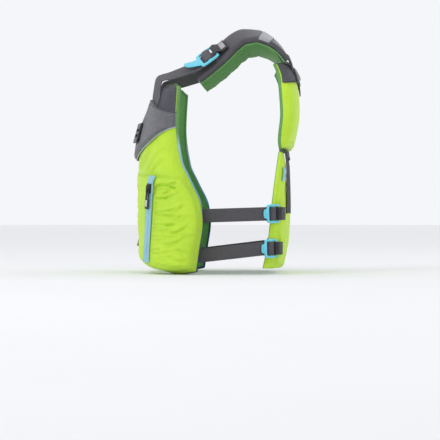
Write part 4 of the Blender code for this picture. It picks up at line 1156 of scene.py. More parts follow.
def make_front_yoke(side, flip, looks):
    ks, ws = eased(40), np.linspace(0, 1, 22)
    start = Surface(ks, ws, grid(ks, ws, lambda k, w: yoke_place(k, w, 0.0012)))
    lift = np.abs(ripples(start, 0.020, 0.0016, (1.4, 1.4, 0.6), 6)) * np.sign(start.normals)
    surface = Surface(ks, ws, start.points + lift * edge_weight(ks, ws, 0.1, 0.1)[..., None])
    body = f"front_{side}"
    thing = layered(f"front_yoke_cloth_{side}", [surface.points, surface.moved(0.0011)], looks["yoke"], flip)
    place_piece(thing, body, [f"front_yoke_{side}"])
    declare_sheet(surface.points)
    lines = [straight((k, 0.05), (k, 0.95), 19) for k in (0.80, 0.83)]
    lines.append(straight((0.03, 0.90), (0.97, 0.90), 39))
    rows = [row_on(surface, line, 0.0013) for line in lines]
    thing = stitch_mesh(f"front_yoke_stitching_{side}", rows, looks["black_thread"], flip)
    place_piece(thing, body)


# ---- webbing on the front halves ----
def shoulder_strap_route():
    under = [front_skin(0.54, v, SKIN + 0.0030, SKIN) for v in (0.80, 0.86, 0.91)]
    down, across = SHOULDER_LOCK_DOWN, SHOULDER_ACROSS
    up = down.cross(across).normalized()
    up = up if up.z > 0 else -up
    through = [SHOULDER_LOCK + down * a / 1000 + up * b / 1000
               for a, b in ((50, -2.2), (40, -3.6), (29.5, -3.6), (26.5, -1.8), (25, 0), (23, 2.4), (20.5, 3.5),
                            (17, 3.7), (13, 3.4), (10.6, 1.6), (9.6, 0), (9.2, -3.2))]
    fold = [Vector((0.087, -0.1115, 0.340)), Vector((0.0865, -0.1075, 0.361)), Vector((0.087, -0.1000, 0.3665)),
            Vector((0.088, -0.080, 0.3715))]
    tangent = (front_skin(0.66, 0.86, SKIN) - front_skin(0.42, 0.86, SKIN)).normalized()
    turns = [tangent] * 3 + [tangent.lerp(across, k) for k in (0.2, 0.4, 0.6, 0.8)] + [across] * len(through)
    return under + fold + through, turns


def side_strap_route(level):
    z0 = SIDE_HEIGHTS[level][0]
    edge = arc_at_y(z0, curve(FRONT_REAR_Y, z0), False)
    inside = [wrap(edge - d, z0, -0.0024, False) for d in (0.030, 0.015, 0.004)]
    lock = side_lock_frame(level)
    through = [lock(0, a / 1000, b / 1000)
               for a, b in ((34, -1.6), (27, -3.5), (20.8, -3.5), (18.4, -1.8), (17.5, 0), (16.4, 2.2),
                            (14.8, 3.4), (11.7, 3.6), (8.4, 3.3), (7.3, 1.6), (7.2, -2.6))]
    middle = [inside[-1].lerp(through[0], k) + Vector((0.004 * math.sin(math.pi * k), 0, 0))
              for k in (0.15, 0.4, 0.7)]
    return inside + middle + through


def side_lock_frame(level):
    """Local frame of a side lock: y runs forward from the rear bar, z outward, x across."""
    z = SIDE_HEIGHTS[level][1]
    s = arc_at_y(z, SIDE_BAR_Y[level], True)
    bar = wrap(s, z, BAND_THICK + 0.0075, True)
    ahead = (wrap(s + 0.028, z - 0.001, BAND_THICK + 0.0078, True) - bar).normalized()
    across = (Z_AXIS - ahead * Z_AXIS.dot(ahead)).normalized()
    out = ahead.cross(across)
    out = out if out.x > 0 else -out
    return lambda a, b, c: bar + across * a + ahead * b + out * c


def mirrored(point, flip):
    return (-point[0] if flip else point[0], point[1], point[2])


def crossing(side, flip, start, end):
    """Body pair and two points along a strap where it passes from one to the other; place_piece does not use
    them.
    """
    return (f"front_{side}", "back", mirrored(start, flip), mirrored(end, flip))


def make_straps(side, flip, looks):
    path, turns = shoulder_strap_route()
    thing = webbing(f"shoulder_webbing_{side}", path, turns, SHOULDER_WEB, looks["charcoal_web"], flip)
    place_piece(thing, crossing(side, flip, path[5], path[8]), [f"shoulder_strap_{side}"])
    for level in SIDE_HEIGHTS:
        path = side_strap_route(level)
        thing = webbing(f"side_webbing_{level}_{side}", path, Z_AXIS, SIDE_WEB, looks["charcoal_web"], flip)
        place_piece(thing, crossing(side, flip, path[2], path[6]),
                    [f"side_strap_{level}_{side}"])


def make_front_trim(side, flip, looks):
    body = f"front_{side}"
    tail = [front_skin(u, 0.085, SKIN + 0.0032, SKIN) for u in (0.072, 0.058, 0.045)]
    turn = tail[-1]
    tail += [turn + Vector((-0.0035, -0.004, 0.0004)), turn + Vector((-0.0040, -0.011, 0.0016)),
             turn + Vector((-0.0020, -0.018, 0.0036))]
    height = front_skin(0.06, 0.115, SKIN) - front_skin(0.06, 0.055, SKIN)
    thing = webbing(f"webbing_tail_{side}", tail, height, 0.020, looks["charcoal_web"], flip)
    place_piece(thing, body, [f"strap_tail_{side}"])
    place = surface_frame(0.34, 0.735, SKIN + CHEST_STANDOFF + 0.0026)
    stops = ([-0.019, -0.013, 0.013, 0.019], [-0.019, -0.013, -0.008, -0.0025, 0.0025, 0.008, 0.013, 0.019],
             [0, 0.0042])

    def filled(x, y, _):
        return not (abs(x) < 0.013 and 0.0025 < abs(y) < 0.008)

    thing = lattice(f"lash_patch_{side}", stops, filled, place, looks["black"], flip)
    place_piece(thing, body, [f"lash_tab_{side}"])
    make_front_zip_half(side, flip, looks)


def surface_frame(u, v, off):
    at = front_skin(u, v, off, SKIN)
    right = (front_skin(u + 0.08, v, off, SKIN) - front_skin(u - 0.08, v, off, SKIN)).normalized()
    above = front_skin(u, v + 0.04, off, SKIN) - front_skin(u, v - 0.04, off, SKIN)
    return frame_at(at, right, right.cross(above))


def frame_at(origin, x_axis, z_axis):
    """place(x, y, z) in metres from a local frame with the given x direction and z (outward) direction."""
    x = Vector(x_axis).normalized()
    z = Vector(z_axis)
    z = (z - x * z.dot(x)).normalized()
    y = z.cross(x)
    origin = Vector(origin)
    return lambda a, b, c: origin + x * a + y * b + z * c


def make_front_zip_half(side, flip, looks):
    """One tape of the centre zip with its row of moulded teeth."""
    along = (FRONT_ZIP_HIGH - FRONT_ZIP_LOW).normalized()
    out = Vector((0, -along.z, along.y))
    length = (FRONT_ZIP_HIGH - FRONT_ZIP_LOW).length
    top = length - (0 if side == "right" else SLIDER_LENGTH + 0.004)

    def at(x, y, z):
        return FRONT_ZIP_LOW + X_AXIS * x + along * y + out * z

    shape = [(0.0016, -0.00045), (0.0120, -0.00045), (0.0124, 0), (0.0120, 0.00045), (0.0016, 0.00045),
             (0.0013, 0.0008), (0.0011, 0), (0.0013, -0.0008)]
    rings = [[at(x, y, z) for x, z in shape] for y in np.linspace(0, top, 90)]
    body = f"front_{side}"
    tape = swept(f"front_zip_tape_{side}", rings, looks["black_tape"], flip)
    place_piece(tape, body, [f"front_zip_{side}"])
    pitch = 0.0029
    shift = 0 if side == "right" else pitch / 2
    boxes = [(0.0004, 0.0040, pitch * n + shift + 0.0008) for n in range(int((top - 0.004) / pitch))]
    thing = teeth(f"front_zip_teeth_{side}", boxes, 0.0016, 0.0013, at, looks["black"], flip)
    place_piece(thing, body)


def teeth(name, boxes, long, half_high, at, material, flip):
    """Moulded zip teeth: a row of small eight-sided blocks."""
    verts, faces = [], []
    for low, high, y in boxes:
        base = len(verts)
        cut = 0.0004
        shape = [(low, -half_high + cut), (low + cut, -half_high), (high - cut, -half_high),
                 (high, -half_high + cut), (high, half_high - cut), (high - cut, half_high),
                 (low + cut, half_high), (low, half_high - cut)]
        for end in (y, y + long):
            verts += [at(x, end, z) for x, z in shape]
        faces += [tuple(base + k for k in range(8)), tuple(base + 8 + k for k in reversed(range(8)))]
        faces += [(base + k, base + (k + 1) % 8, base + 8 + (k + 1) % 8, base + 8 + k) for k in range(8)]
    return make_piece(name, verts, faces, material, flip, sharp=30)


def make_slider(name, origin, along, out, paired, looks, flip=False):
    place = frame_at(origin, along.cross(out), out)
    half = SLIDER_LENGTH / 2
    ys = [-half, -0.006, -0.004, 0.004, 0.006, half]
    if paired:
        xs = [-0.0064, -0.0047, -0.0015, -0.00055, 0.00055, 0.0015, 0.0047, 0.0064]
        zs = [-0.0035, -0.0019, -0.00085, 0.00085, 0.0019, 0.0035, 0.0070, 0.0084]

        def filled(x, y, z):
            if z > 0.0035:
                return abs(x) < 0.0015 and abs(y) < 0.006 and (z > 0.007 or abs(y) > 0.004)
            if abs(z) > 0.0019:
                return True
            return abs(x) < 0.00055 or (abs(x) > 0.0047 and abs(z) > 0.00085)
    else:
        xs = [-0.0058, -0.0042, -0.0015, 0.0015, 0.0042, 0.0058]
        zs = [0.0013, 0.0023, 0.0038, 0.0072, 0.0085]

        def filled(x, y, z):
            if z > 0.0038:
                return abs(x) < 0.0015 and abs(y) < 0.006 and (z > 0.0072 or abs(y) > 0.004)
            return z > 0.0023 or abs(x) > 0.0042
    thing = lattice(f"{name}_body", (xs, ys, zs), filled, place, looks["black"], flip, crease=0.7)
    place_piece(thing, name, [name])
    return place


def make_pull(name, slider, lift, length, width, looks, flip=False):
    """Moulded pull tab with a pale inlay, on a cross bar under the slider's arch."""
    half, slot = width / 2, -0.014

    def place(x, y, z):
        k = min(max((-y - 0.014) / (length - 0.014), 0), 1)
        return slider(x * (1 + 0.12 * math.sin(math.pi * k)), y, lift + z * (1 + 0.5 * k))

    stops = ([-half, -0.0023, 0.0023, half], [-length, -0.026, slot - 0.006, slot, -0.0095, -0.001, 0.001],
             [-0.0009, 0.0009])
    thing = lattice(f"{name}_tab", stops,
                    lambda x, y, z: abs(x) > 0.0023 or y > -0.001 or slot < y < -0.0095 or y < slot - 0.006,
                    place, looks["black"], flip, crease=0.6)
    place_piece(thing, name, [name])
    low, high = -length + 0.004, slot - 0.0075
    inlay = ([-0.0024, 0.0024], [low, (low + high) / 2, high], [-0.0017, 0.0017])
    thing = lattice(f"{name}_inlay", inlay, lambda x, y, z: True, place, looks["inlay"], flip, crease=0.8)
    place_piece(thing, name)


def make_zips(looks):
    along, out = (ZIP_HIGH - ZIP_LOW).normalized(), pocket_normal()
    for side, flip in SIDES:
        top = ZIP_HIGH - along * 0.012
        slider = make_slider(f"pocket_slider_{side}", top, along, out, False, looks, flip)
        make_pull(f"pocket_pull_{side}", slider, 0.0054, 0.038, 0.010, looks, flip)
    along = (FRONT_ZIP_HIGH - FRONT_ZIP_LOW).normalized()
    out = Vector((0, -along.z, along.y))
    origin = FRONT_ZIP_HIGH - along * (SLIDER_LENGTH / 2 + 0.001)
    slider = make_slider("front_zip_slider", origin, along, out, True, looks)
    make_pull("front_zip_pull", slider, 0.0053, 0.034, 0.010, looks)


# ---- back ----
def flat_back(us, vs, t, grow):
    return grid(us, vs, lambda u, v: wrap(*back_map(u, v, grow), t, True))


def back_surface():
    us, vs = eased(84, -1, 1), eased(52)
    start = Surface(us, vs, grid(us, vs, lambda u, v: back_skin(u, v, SKIN - 0.0014, SKIN)), -1)
    edge = edge_weight(us, vs, 0.06, 0.08)
    points = start.points + ripples(start, 0.032, 0.0012, (1, 1, 1.5), 8) * edge[..., None]
    done = settle(Surface(us, vs, points, -1), edge, (0.025, 0.020), 1.5, 0.0036)
    groove = press(done, [(0, v) for v in np.linspace(0.02, YOKE_LOW_V, 12)], 0.0022, 0.0030)
    yoked = np.clip((vs[None, :] - YOKE_LOW_V + 0.04) / 0.03, 0, 1)[..., None]
    done = Surface(us, vs, done.points + groove * edge[..., None], -1)
    return Surface(us, vs, done.points * (1 - yoked) + start.points * yoked, -1)


def make_back(looks):
    cover = back_surface()
    us, vs = cover.us, cover.vs
    base = flat_back(us, vs, LINING + LAYER_GAP, SKIN)
    middle = flat_back(us, vs, LINING + LAYER_GAP + WALL * 0.5, SKIN + 0.0006)
    thing = layered("back_cover", [cover.points, middle, base], looks["lime"])
    place_piece(thing, "back", ["back_shell", "back_foam"])
    inner = flat_back(us, vs, 0.0002, SKIN)
    lift = np.abs(ripples(Surface(us, vs, inner, -1), 0.040, 0.0006, seed=9))
    raised = inner + lift * np.sign(inner)
    thing = layered("back_inner", [raised, flat_back(us, vs, LINING, SKIN)], looks["lining"])
    place_piece(thing, "back", ["back_lining"])
    declare_sheet(inner)
    outline = panel_outline(-1, 120, 60)
    low = [wrap(*back_map(u, v, SKIN), -0.0002, True) for u, v in outline]
    high = [wrap(*back_map(u, v, SKIN), LINING + WALL * 0.75, True) for u, v in outline]
    thing = swept("back_binding", edge_rings(high, low, 0.0010), looks["back_binding"], closed=True)
    place_piece(thing, "back")
    make_back_yoke(looks)
    lines = [straight((-0.93, 0.075), (0.93, 0.075), 90)]
    lines += [straight((u, 0.08), (u, 0.76), 39) for u in (-0.018, 0.018)]
    rows = [row_on(cover, line) for line in lines]
    thing = stitch_mesh("back_stitching", rows, looks["lime_thread"])
    place_piece(thing, "back")


def make_back_yoke(looks):
    us, vs = eased(90, -1, 1), np.linspace(YOKE_LOW_V, 1, 30)
    start = Surface(us, vs, grid(us, vs, lambda u, v: back_skin(u, v, SKIN + 0.0006, SKIN)), -1)
    edge = edge_weight(us, vs, 0.05, 0.05)
    folds = ripples(start, 0.030, 0.0016, (1, 1, 1), 11)
    surface = Surface(us, vs, start.points + np.abs(folds) * np.sign(start.normals) * edge[..., None], -1)
    thing = layered("back_yoke_cloth", [surface.points, surface.moved(0.0014)], looks["yoke"])
    place_piece(thing, "back", ["back_yoke"])
    declare_sheet(surface.points)
    rows = [row_on(surface, straight((-0.97, v), (0.97, v), 90), 0.0016) for v in (0.79, 0.803)]
    thing = stitch_mesh("back_yoke_stitching", rows, looks["grey_thread"])
    place_piece(thing, "back")
    seam = [surface.at(u, YOKE_LOW_V, 0.0008) for u in np.linspace(-0.995, 0.995, 90)]
    thing = tube("back_yoke_seam", seam, 0.0010, looks["black_web"])
    place_piece(thing, "back")


def band_surface():
    us, vs = eased(150, -1, 1), eased(44)
    start = Surface(us, vs, grid(us, vs, band_face), -1)
    edge = edge_weight(us, vs, 0.04, 0.07)
    points = start.points + ripples(start, 0.024, 0.0010, (1, 1, 1.8), 12) * edge[..., None]
    return settle(Surface(us, vs, points, -1), edge, (0.012, 0.030), 0.8, 0.0016)


def band_share(u, z):
    """Share v of the band's height at which it reaches height z."""
    high = curve(BAND_TOP, abs(u))
    return (z - BAND_BOTTOM) / (high - BAND_BOTTOM)


def make_band(looks):
    face = band_surface()
    us, vs = face.us, face.vs
    edge = edge_weight(us, vs, 0.04, 0.05)[..., None]
    shape = np.zeros_like(face.points)
    for sign in (-1, 1):
        fold = [(sign * u, band_share(u, 0.1080)) for u in np.linspace(0.70, 0.985, 20)]
        bag = [(sign * (0.93 - 0.13 * math.sin(a)), band_share(0.9, 0.044 + 0.034 * -math.cos(a)))
               for a in np.linspace(0.15, math.pi - 0.15, 20)]
        shape += press(face, fold, 0.0014, 0.0018) + press(face, bag, 0.0012, 0.0016)
    face = Surface(us, vs, face.points + shape * edge, -1)
    base = grid(us, vs, lambda u, v: wrap(*band_map(u, v), 0.0014, True))
    thing = layered("band_cover", [face.points, base], looks["lime"])
    place_piece(thing, "back", ["waist_band"])
    inner = grid(us, vs, lambda u, v: wrap(*band_map(u, v), 0.0, True))
    outer = grid(us, vs, lambda u, v: wrap(*band_map(u, v), 0.0012, True))
    thing = layered("band_inner", [inner, outer], looks["lining"])
    place_piece(thing, "back", ["waist_band_lining"])
    declare_sheet(inner)
    rows = []
    for sign in (-1, 1):
        for gap in (-0.0022, 0.0022):
            rows.append(row_on(face, [(sign * u, band_share(u, 0.108 + gap))
                                      for u in np.linspace(0.72, 0.975, 40)]))
        rows.append(row_on(face, [(sign * 0.975, v) for v in np.linspace(0.05, 0.95, 60)]))
        bag = [(sign * (0.93 - 0.145 * math.sin(a)), band_share(0.9, 0.044 + 0.037 * -math.cos(a)))
               for a in np.linspace(0.15, math.pi - 0.15, 30)]
        rows.append(row_on(face, bag))
    rows.append(row_on(face, straight((-0.96, 0.055), (0.96, 0.055), 160)))
    rows.append(row_on(face, straight((-0.60, 0.94), (0.60, 0.94), 90)))
    thing = stitch_mesh("band_stitching", rows, looks["lime_thread"])
    place_piece(thing, "back")
    make_band_trim(face, looks)


def make_band_trim(face, looks):
    for side, flip in SIDES:
        # folded blue tab in the wing's seam
        u = 0.885
        heights = np.linspace(0.172, 0.198, 10)
        path = [face.at(u, band_share(u, z), 0.0014 + 0.0022 * math.sin(math.pi * (z - 0.172) / 0.026))
                for z in heights]
        across = (face.at(u + 0.02, 0.8) - face.at(u - 0.02, 0.8)).normalized()
        thing = webbing(f"band_tab_{side}", path, across, 0.0080, looks["sky_tab"], flip, 0.0012)
        place_piece(thing, "back")


def mesh_piece(name, columns, rows, place, thick, material):
    """Open net: every cell of a grid becomes a ring of yarn round a diamond hole."""
    verts, index, faces = [], {}, []

    def corner(u, v, t):
        key = (round(u, 6), round(v, 6), t)
        if key not in index:
            index[key] = len(verts)
            verts.append(place(u, v, t))
        return index[key]

    for i in range(columns):
        for j in range(rows):
            u0, v0 = -1 + 2 * i / columns, j / rows
            du, dv = 2 / columns, 1 / rows
            rim = [(u0, v0), (u0 + du, v0), (u0 + du, v0 + dv), (u0, v0 + dv)]
            hole = [(u0 + du * a, v0 + dv * b) for a, b in NET_HOLE]
            for k in range(4):
                m = (k + 1) % 4
                a, b = rim[k], rim[m]
                for t, order in ((thick, 1), (0.0, -1)):
                    corners = [corner(*a, t), corner(*b, t), corner(*hole[k], t)]
                    faces.append(corners[::order])
                    corners = [corner(*b, t), corner(*hole[m], t), corner(*hole[k], t)]
                    faces.append(corners[::order])
                faces.append([corner(*hole[k], 0.0), corner(*hole[k], thick), corner(*hole[m], thick),
                              corner(*hole[m], 0.0)])
    us, vs = [-1 + 2 * i / columns for i in range(columns + 1)], [j / rows for j in range(rows + 1)]
    edges = [((a, v), (b, v)) for v in (0, 1) for a, b in zip(us, us[1:])]
    edges += [((u, a), (u, b)) for u in (-1, 1) for a, b in zip(vs, vs[1:])]
    for a, b in edges:
        faces.append([corner(*a, 0.0), corner(*b, 0.0), corner(*b, thick), corner(*a, thick)])
    uv = [(MESH_HALF * u, (MESH_TOP - MESH_BOTTOM) * v) for u, v, _ in index]
    return make_piece(name, verts, faces, material, uv=uv, sharp=80)


def make_mesh_panel(looks):
    width, height = 2 * MESH_HALF, MESH_TOP - MESH_BOTTOM

    def at(u, v, t):
        return wrap(u * MESH_HALF, MESH_BOTTOM + v * height, MESH_OUT - MESH_THICK + t, True)

    thing = mesh_piece("back_net", NET_COLUMNS, NET_ROWS, at, NET_YARN, looks["mesh"])
    place_piece(thing, "back", ["back_mesh"])
    outline_area = cloth_area(grid(np.linspace(-1, 1, 30), np.linspace(0, 1, 20), lambda u, v: at(u, v, 0)))

    def tape(off):
        """Wide tape along the top of the net; its upper edge is tucked behind the panel."""
        def place(u, v):
            z = TAPE_LOW + v * (TAPE_HIGH - TAPE_LOW)
            tucked = smooth(z, TAPE_TURN, TAPE_TURN + 0.0060)
            return wrap(u * TAPE_HALF, z, (MESH_OUT + 0.0004) * (1 - tucked) - 0.0024 * tucked + off, True)
        return grid(np.linspace(-1, 1, 70), np.linspace(0, 1, 24), place)

    thing = layered("mesh_top_tape", [tape(0), tape(0.0014)], looks["black_web"])
    place_piece(thing, "back", ["mesh_binding"])
    for side, flip in SIDES:
        path = [wrap(MESH_HALF + 0.001, z, MESH_OUT + 0.0002, True) for z in np.linspace(0.112, 0.229, 30)]
        near, far = [wrap(MESH_HALF + step, 0.17, MESH_OUT, True) for step in (-0.004, 0.004)]
        across = (far - near).normalized()
        thing = webbing(f"mesh_side_tape_{side}", path, across, 0.0075, looks["black_web"], flip, 0.0014)
        place_piece(thing, "back")
    rows = [[(wrap(s, z, MESH_OUT + 0.0020, True), wrap(s, z, 1, True) - wrap(s, z, 0, True))
             for s in np.linspace(-MESH_HALF + 0.002, MESH_HALF - 0.002, 50)] for z in (0.2185, 0.2275)]
    thing = stitch_mesh("mesh_stitching", rows, looks["grey_thread"])
    place_piece(thing, "back")


# ---- shoulders ----
def pad_frames(count):
    """Point, across and up directions along the middle of the pad's top face."""
    points = [Vector(p) for p in PAD_PATH]
    lengths = [0]
    for a, b in zip(points, points[1:]):
        lengths.append(lengths[-1] + (b - a).length)
    keys = [[(l, p[axis]) for l, p in zip(lengths, points)] for axis in range(3)]
    out = []
    for n in range(count + 1):
        k = n / count
        at = Vector([curve(keys[axis], k * lengths[-1]) for axis in range(3)])
        step = lengths[-1] * 0.03
        ahead = Vector([curve(keys[axis], min(k * lengths[-1] + step, lengths[-1])) for axis in range(3)])
        behind = Vector([curve(keys[axis], max(k * lengths[-1] - step, 0)) for axis in range(3)])
        along = (ahead - behind).normalized()
        level = (X_AXIS - along * X_AXIS.dot(along)).normalized()
        up = level.cross(along).normalized()
        up = up if up.z > 0 or n == 0 and up.y > 0 else -up
        tilt = curve(PAD_TILT, k)
        across = level * math.cos(tilt) - up * math.sin(tilt)
        out.append((k, at, across, up * math.cos(tilt) + level * math.sin(tilt)))
    return out


def frame_near(y):
    return min(pad_frames(60), key=lambda f: abs(f[1].y - y))


def pad_tail():
    """Middle, across and up directions that carry the pad's cover over the back's yoke, low end first."""
    out = []
    for u, v in ((0.655, 0.80), (0.67, 0.86), (0.69, 0.92), (0.72, 0.965)):
        at = back_skin(u, v, SKIN + 0.0042, SKIN)
        side = (back_skin(u + 0.05, v, SKIN, SKIN) - back_skin(u - 0.05, v, SKIN, SKIN)).normalized()
        above = back_skin(u, min(v + 0.03, 1), SKIN, SKIN) - back_skin(u, v - 0.03, SKIN, SKIN)
        out.append((at, side, above.cross(side).normalized()))
    return out


# Sections of the pad's pieces, as (share of the half width, depth). The cover's depth is a share of the pad's
# thickness below its top face, the strip's is in metres below the top face, and the lining's is in metres
# below the pad's underside.
PAD_SECTION = [(-1, 0.62), (-0.995, 0.40), (-0.97, 0.20), (-0.91, 0.06), (-0.80, 0.01), (-0.5, -0.03),
               (0, -0.05), (0.5, -0.03), (0.80, 0.01), (0.91, 0.06), (0.97, 0.20), (0.995, 0.40), (1, 0.62),
               (0.98, 0.88), (0.93, 1), (-0.93, 1), (-0.98, 0.88)]
PAD_LINING_SECTION = [(-0.90, 0.0002), (0.90, 0.0002), (1, 0.0), (1.01, 0.0012), (0.96, 0.0024), (0, 0.0018),
                      (-0.96, 0.0024), (-1.01, 0.0012), (-1, 0.0)]
STRIP_SECTION = [(-1.0, 0.0042), (-0.985, 0.0020), (-0.93, 0.0002), (-0.80, -0.0006), (0, -0.0012),
                 (0.80, -0.0006), (0.93, 0.0002), (0.985, 0.0020), (1.0, 0.0042)]
STRIP_THICK, STRIP_OVERLAP = 0.0009, 0.0008


def make_pad_cover(side, flip, frames, looks):
    rings = []
    for n, (k, at, across, up) in enumerate(frames):
        half = curve(PAD_WIDTH, k) / 2
        half += 0.0004 * math.sin(n * 0.9) + 0.0003 * math.sin(n * 2.3)
        rings.append([at + across * x * half - up * y * PAD_THICK for x, y in PAD_SECTION])
    thing = swept(f"pad_cover_{side}", rings, looks["neoprene"], flip, sharp=70)
    place_piece(thing, "back", [f"shoulder_pad_{side}"])


def make_pad_root(side, flip, frames, looks):
    tail, ends = pad_tail(), [frames[0][1:], frames[3][1:]]
    path = [at for at, _, _ in tail] + [at - up * 0.0010 for at, _, up in ends]
    across = [direction for _, direction, _ in tail + ends]
    thing = webbing(f"pad_root_{side}", path, across, 0.050, looks["neoprene"], flip, 0.0034)
    place_piece(thing, "back")


def make_pad_lining(side, flip, frames, looks):
    rings = []
    for n, (k, at, across, up) in enumerate(frames):
        half = curve(PAD_WIDTH, k) / 2 + 0.0012 + 0.0009 * math.sin(n * 0.55) + 0.0005 * math.sin(n * 1.7)
        drop = PAD_THICK + 0.0002
        rings.append([at + across * x * half - up * (drop + y) for x, y in PAD_LINING_SECTION])
    thing = swept(f"pad_lining_{side}", rings, looks["binding"], flip, sharp=80)
    place_piece(thing, "back", [f"shoulder_lining_{side}"])


def make_pad_stitching(side, flip, frames, looks):
    """A row of stitches along both edges of the pad and a curved one across it, nearer its front end."""
    rows = []
    for x in (-0.86, 0.86):
        rows.append([(at + across * x * curve(PAD_WIDTH, k) / 2 - up * 0.0001, up)
                     for k, at, across, up in frames[3:-2]])
    shares = (-0.8, -0.4, 0, 0.4, 0.8)
    arc = [frame_near(0.0175 + 0.0015 * math.cos(x * 1.4)) for x in shares]
    rows.append([(at + across * x * 0.024 + up * 0.0004, up) for x, (_, at, across, up) in zip(shares, arc)])
    thing = stitch_mesh(f"pad_stitching_{side}", rows, looks["grey_thread"], flip)
    place_piece(thing, "back")


def make_reflective_strip(side, flip, looks):
    rings = []
    for k, at, across, up in pad_frames(60)[13:20]:
        half = curve(PAD_WIDTH, k) / 2
        ring = [at + across * x * half - up * y for x, y in STRIP_SECTION]
        ring += [at + across * x * (half + STRIP_OVERLAP) - up * (y - STRIP_THICK)
                 for x, y in reversed(STRIP_SECTION)]
        rings.append(ring)
    thing = swept(f"reflective_strip_{side}", rings, looks["film"], flip)
    place_piece(thing, "back", [f"reflective_band_{side}"])


def make_shoulder(side, flip, looks):
    frames = pad_frames(90)
    make_pad_cover(side, flip, frames, looks)
    make_pad_root(side, flip, frames, looks)
    make_pad_lining(side, flip, frames, looks)
    make_pad_stitching(side, flip, frames, looks)
    make_reflective_strip(side, flip, looks)
    make_shoulder_lock(side, flip, looks)


# ---- ladder locks and their anchors ----
def lock_place(origin, down, across):
    up = down.cross(across).normalized()
    up = up if up.dot(Vector((0, -0.3, 1))) > 0 else -up
    return lambda x, y, z: origin + across * x + down * y + up * z


def make_ladder_lock(name, place, width, bars, tongue, rise_to, looks, flip):
    """Three-bar buckle with rounded rails and a lift tongue; bars are (start, end) along its length."""
    half, rail, last = width / 2, 0.0035, bars[-1][1]
    inner = width * 0.27
    ends = {b for bar in bars for b in bar}
    ys = sorted(ends | {bars[0][1] + 0.5 * (bars[1][0] - bars[0][1])}) + [last + tongue * 0.45, last + tongue]

    def filled(x, y, _):
        if y > last:
            return abs(x) < inner
        return abs(x) > half - rail or any(a <= y <= b for a, b in bars)

    def shaped(x, y, z):
        k = max(0, (y - last) / tongue)
        swell = 1 + 0.05 * math.sin(math.pi * min(max(y / last, 0), 1))
        corner = y <= bars[0][0] + 1e-6 or abs(y - last) < 1e-6
        x *= (0.93 if corner and abs(x) > half - 1e-6 else 1) * (swell if y <= last else 1 - 0.2 * k)
        return place(x, y, z * (1 - 0.35 * k) * 1.12 + rise_to * k ** 1.4)

    stops = ([-half, -(half - rail), -inner, inner, half - rail, half], ys,
             [-LOCK_THICK / 2, 0, LOCK_THICK / 2])
    thing = lattice(f"{name}_frame", stops, filled, shaped, looks["sky"], flip, crease=0.0)
    place_piece(thing, name, [name])
    ribs = []
    for n in range(3):
        y = last + tongue * (0.50 + 0.16 * n)
        k = (y - last) / tongue
        high = LOCK_THICK / 2 * (1 - 0.35 * k) * 1.02 + rise_to * k ** 1.4
        ribs.append([place(x * inner * 0.62, y, high) for x in (-1, -0.5, 0, 0.5, 1)])
    for n, path in enumerate(ribs):
        thing = tube(f"{name}_grip_{n + 1}", path, 0.0007, looks["sky"], flip)
        place_piece(thing, name)


def loop_path(place, bar_half, low_leg, high_leg):
    """Webbing loop round a bar at the origin, between two legs that run back to the sewn end."""
    r = bar_half + 0.0006 + WEB / 2
    turn = [place(0, r * math.cos(a), r * math.sin(a)) for a in np.linspace(-math.pi / 2, math.pi / 2, 7)]
    turn = [place(0, -0.003, -r)] + turn + [place(0, -0.0034, r - 0.0003)]
    return low_leg + turn + high_leg


def make_shoulder_lock(side, flip, looks):
    place = lock_place(SHOULDER_LOCK, SHOULDER_LOCK_DOWN, SHOULDER_ACROSS)
    bars = [(-0.0021, 0.0021), (0.0138, 0.0198), (0.0305, 0.0365)]
    make_ladder_lock(f"shoulder_lock_{side}", place, 0.0465, bars, 0.027, 0.0135, looks, flip)
    sewn, near, far = [frame_near(y) for y in (0.0190, 0.0085, 0.0120)]
    low = [sewn[1] + sewn[3] * 0.0022, near[1] + near[3] * 0.0024]
    high = [far[1] + far[3] * 0.0060, sewn[1] + sewn[3] * 0.0044]
    for point in low + high:
        point += SHOULDER_ACROSS * (SHOULDER_LOCK - point).dot(SHOULDER_ACROSS)
    path = loop_path(place, 0.0031, low, high)
    turns = [sewn[2], near[2]] + [SHOULDER_ACROSS] * (len(path) - 4) + [far[2], sewn[2]]
    thing = webbing(f"anchor_webbing_{side}", path, turns, SHOULDER_WEB - 0.003, looks["black_web"], flip)
    place_piece(thing, "back", [f"shoulder_anchor_{side}"])
    # plain woven label on the anchor
    start, end = path[-2], path[-1]
    along, up = (end - start).normalized(), (far[3] + sewn[3]).normalized()
    across = along.cross(up).normalized()
    middle = start.lerp(end, 0.35) + up * 0.0014
    path = [middle - along * 0.0050, middle, middle + along * 0.0050]
    patch = webbing(f"plain_label_{side}", path, across, 0.024, looks["label"], flip, 0.0007)
    place_piece(patch, "back")


def make_side_lock(side, flip, looks):
    for level in SIDE_HEIGHTS:
        place = side_lock_frame(level)
        bars = [(-0.0018, 0.0018), (0.0090, 0.0140), (0.0212, 0.0255)]
        make_ladder_lock(f"side_lock_{level}_{side}", place, 0.0335, bars, 0.010, 0.0045, looks, flip)
        z = SIDE_HEIGHTS[level][1]
        s = arc_at_y(z, SIDE_BAR_Y[level], True)
        low = [wrap(s - a, z, BAND_THICK + b, True) for a, b in ((0.019, 0.0026), (0.008, 0.0036))]
        high = [wrap(s - a, z, BAND_THICK + b, True) for a, b in ((0.011, 0.0084), (0.019, 0.0052))]
        path = loop_path(place, 0.0029, low, high)
        name = f"side_anchor_webbing_{level}_{side}"
        thing = webbing(name, path, Z_AXIS, SIDE_WEB - 0.001, looks["black_web"], flip)
        place_piece(thing, "back", [f"side_anchor_{level}_{side}"])


# ---- stage ----
CAMERA_DISTANCE, CAMERA_AZIMUTH, CAMERA_HEIGHT = 3.2, 92.5, 0.100
VIEW_WIDTH = 0.814
AIM_Y = 0.0083
FLOOR_HALF, FLOOR_Z = 30.0, -0.0005


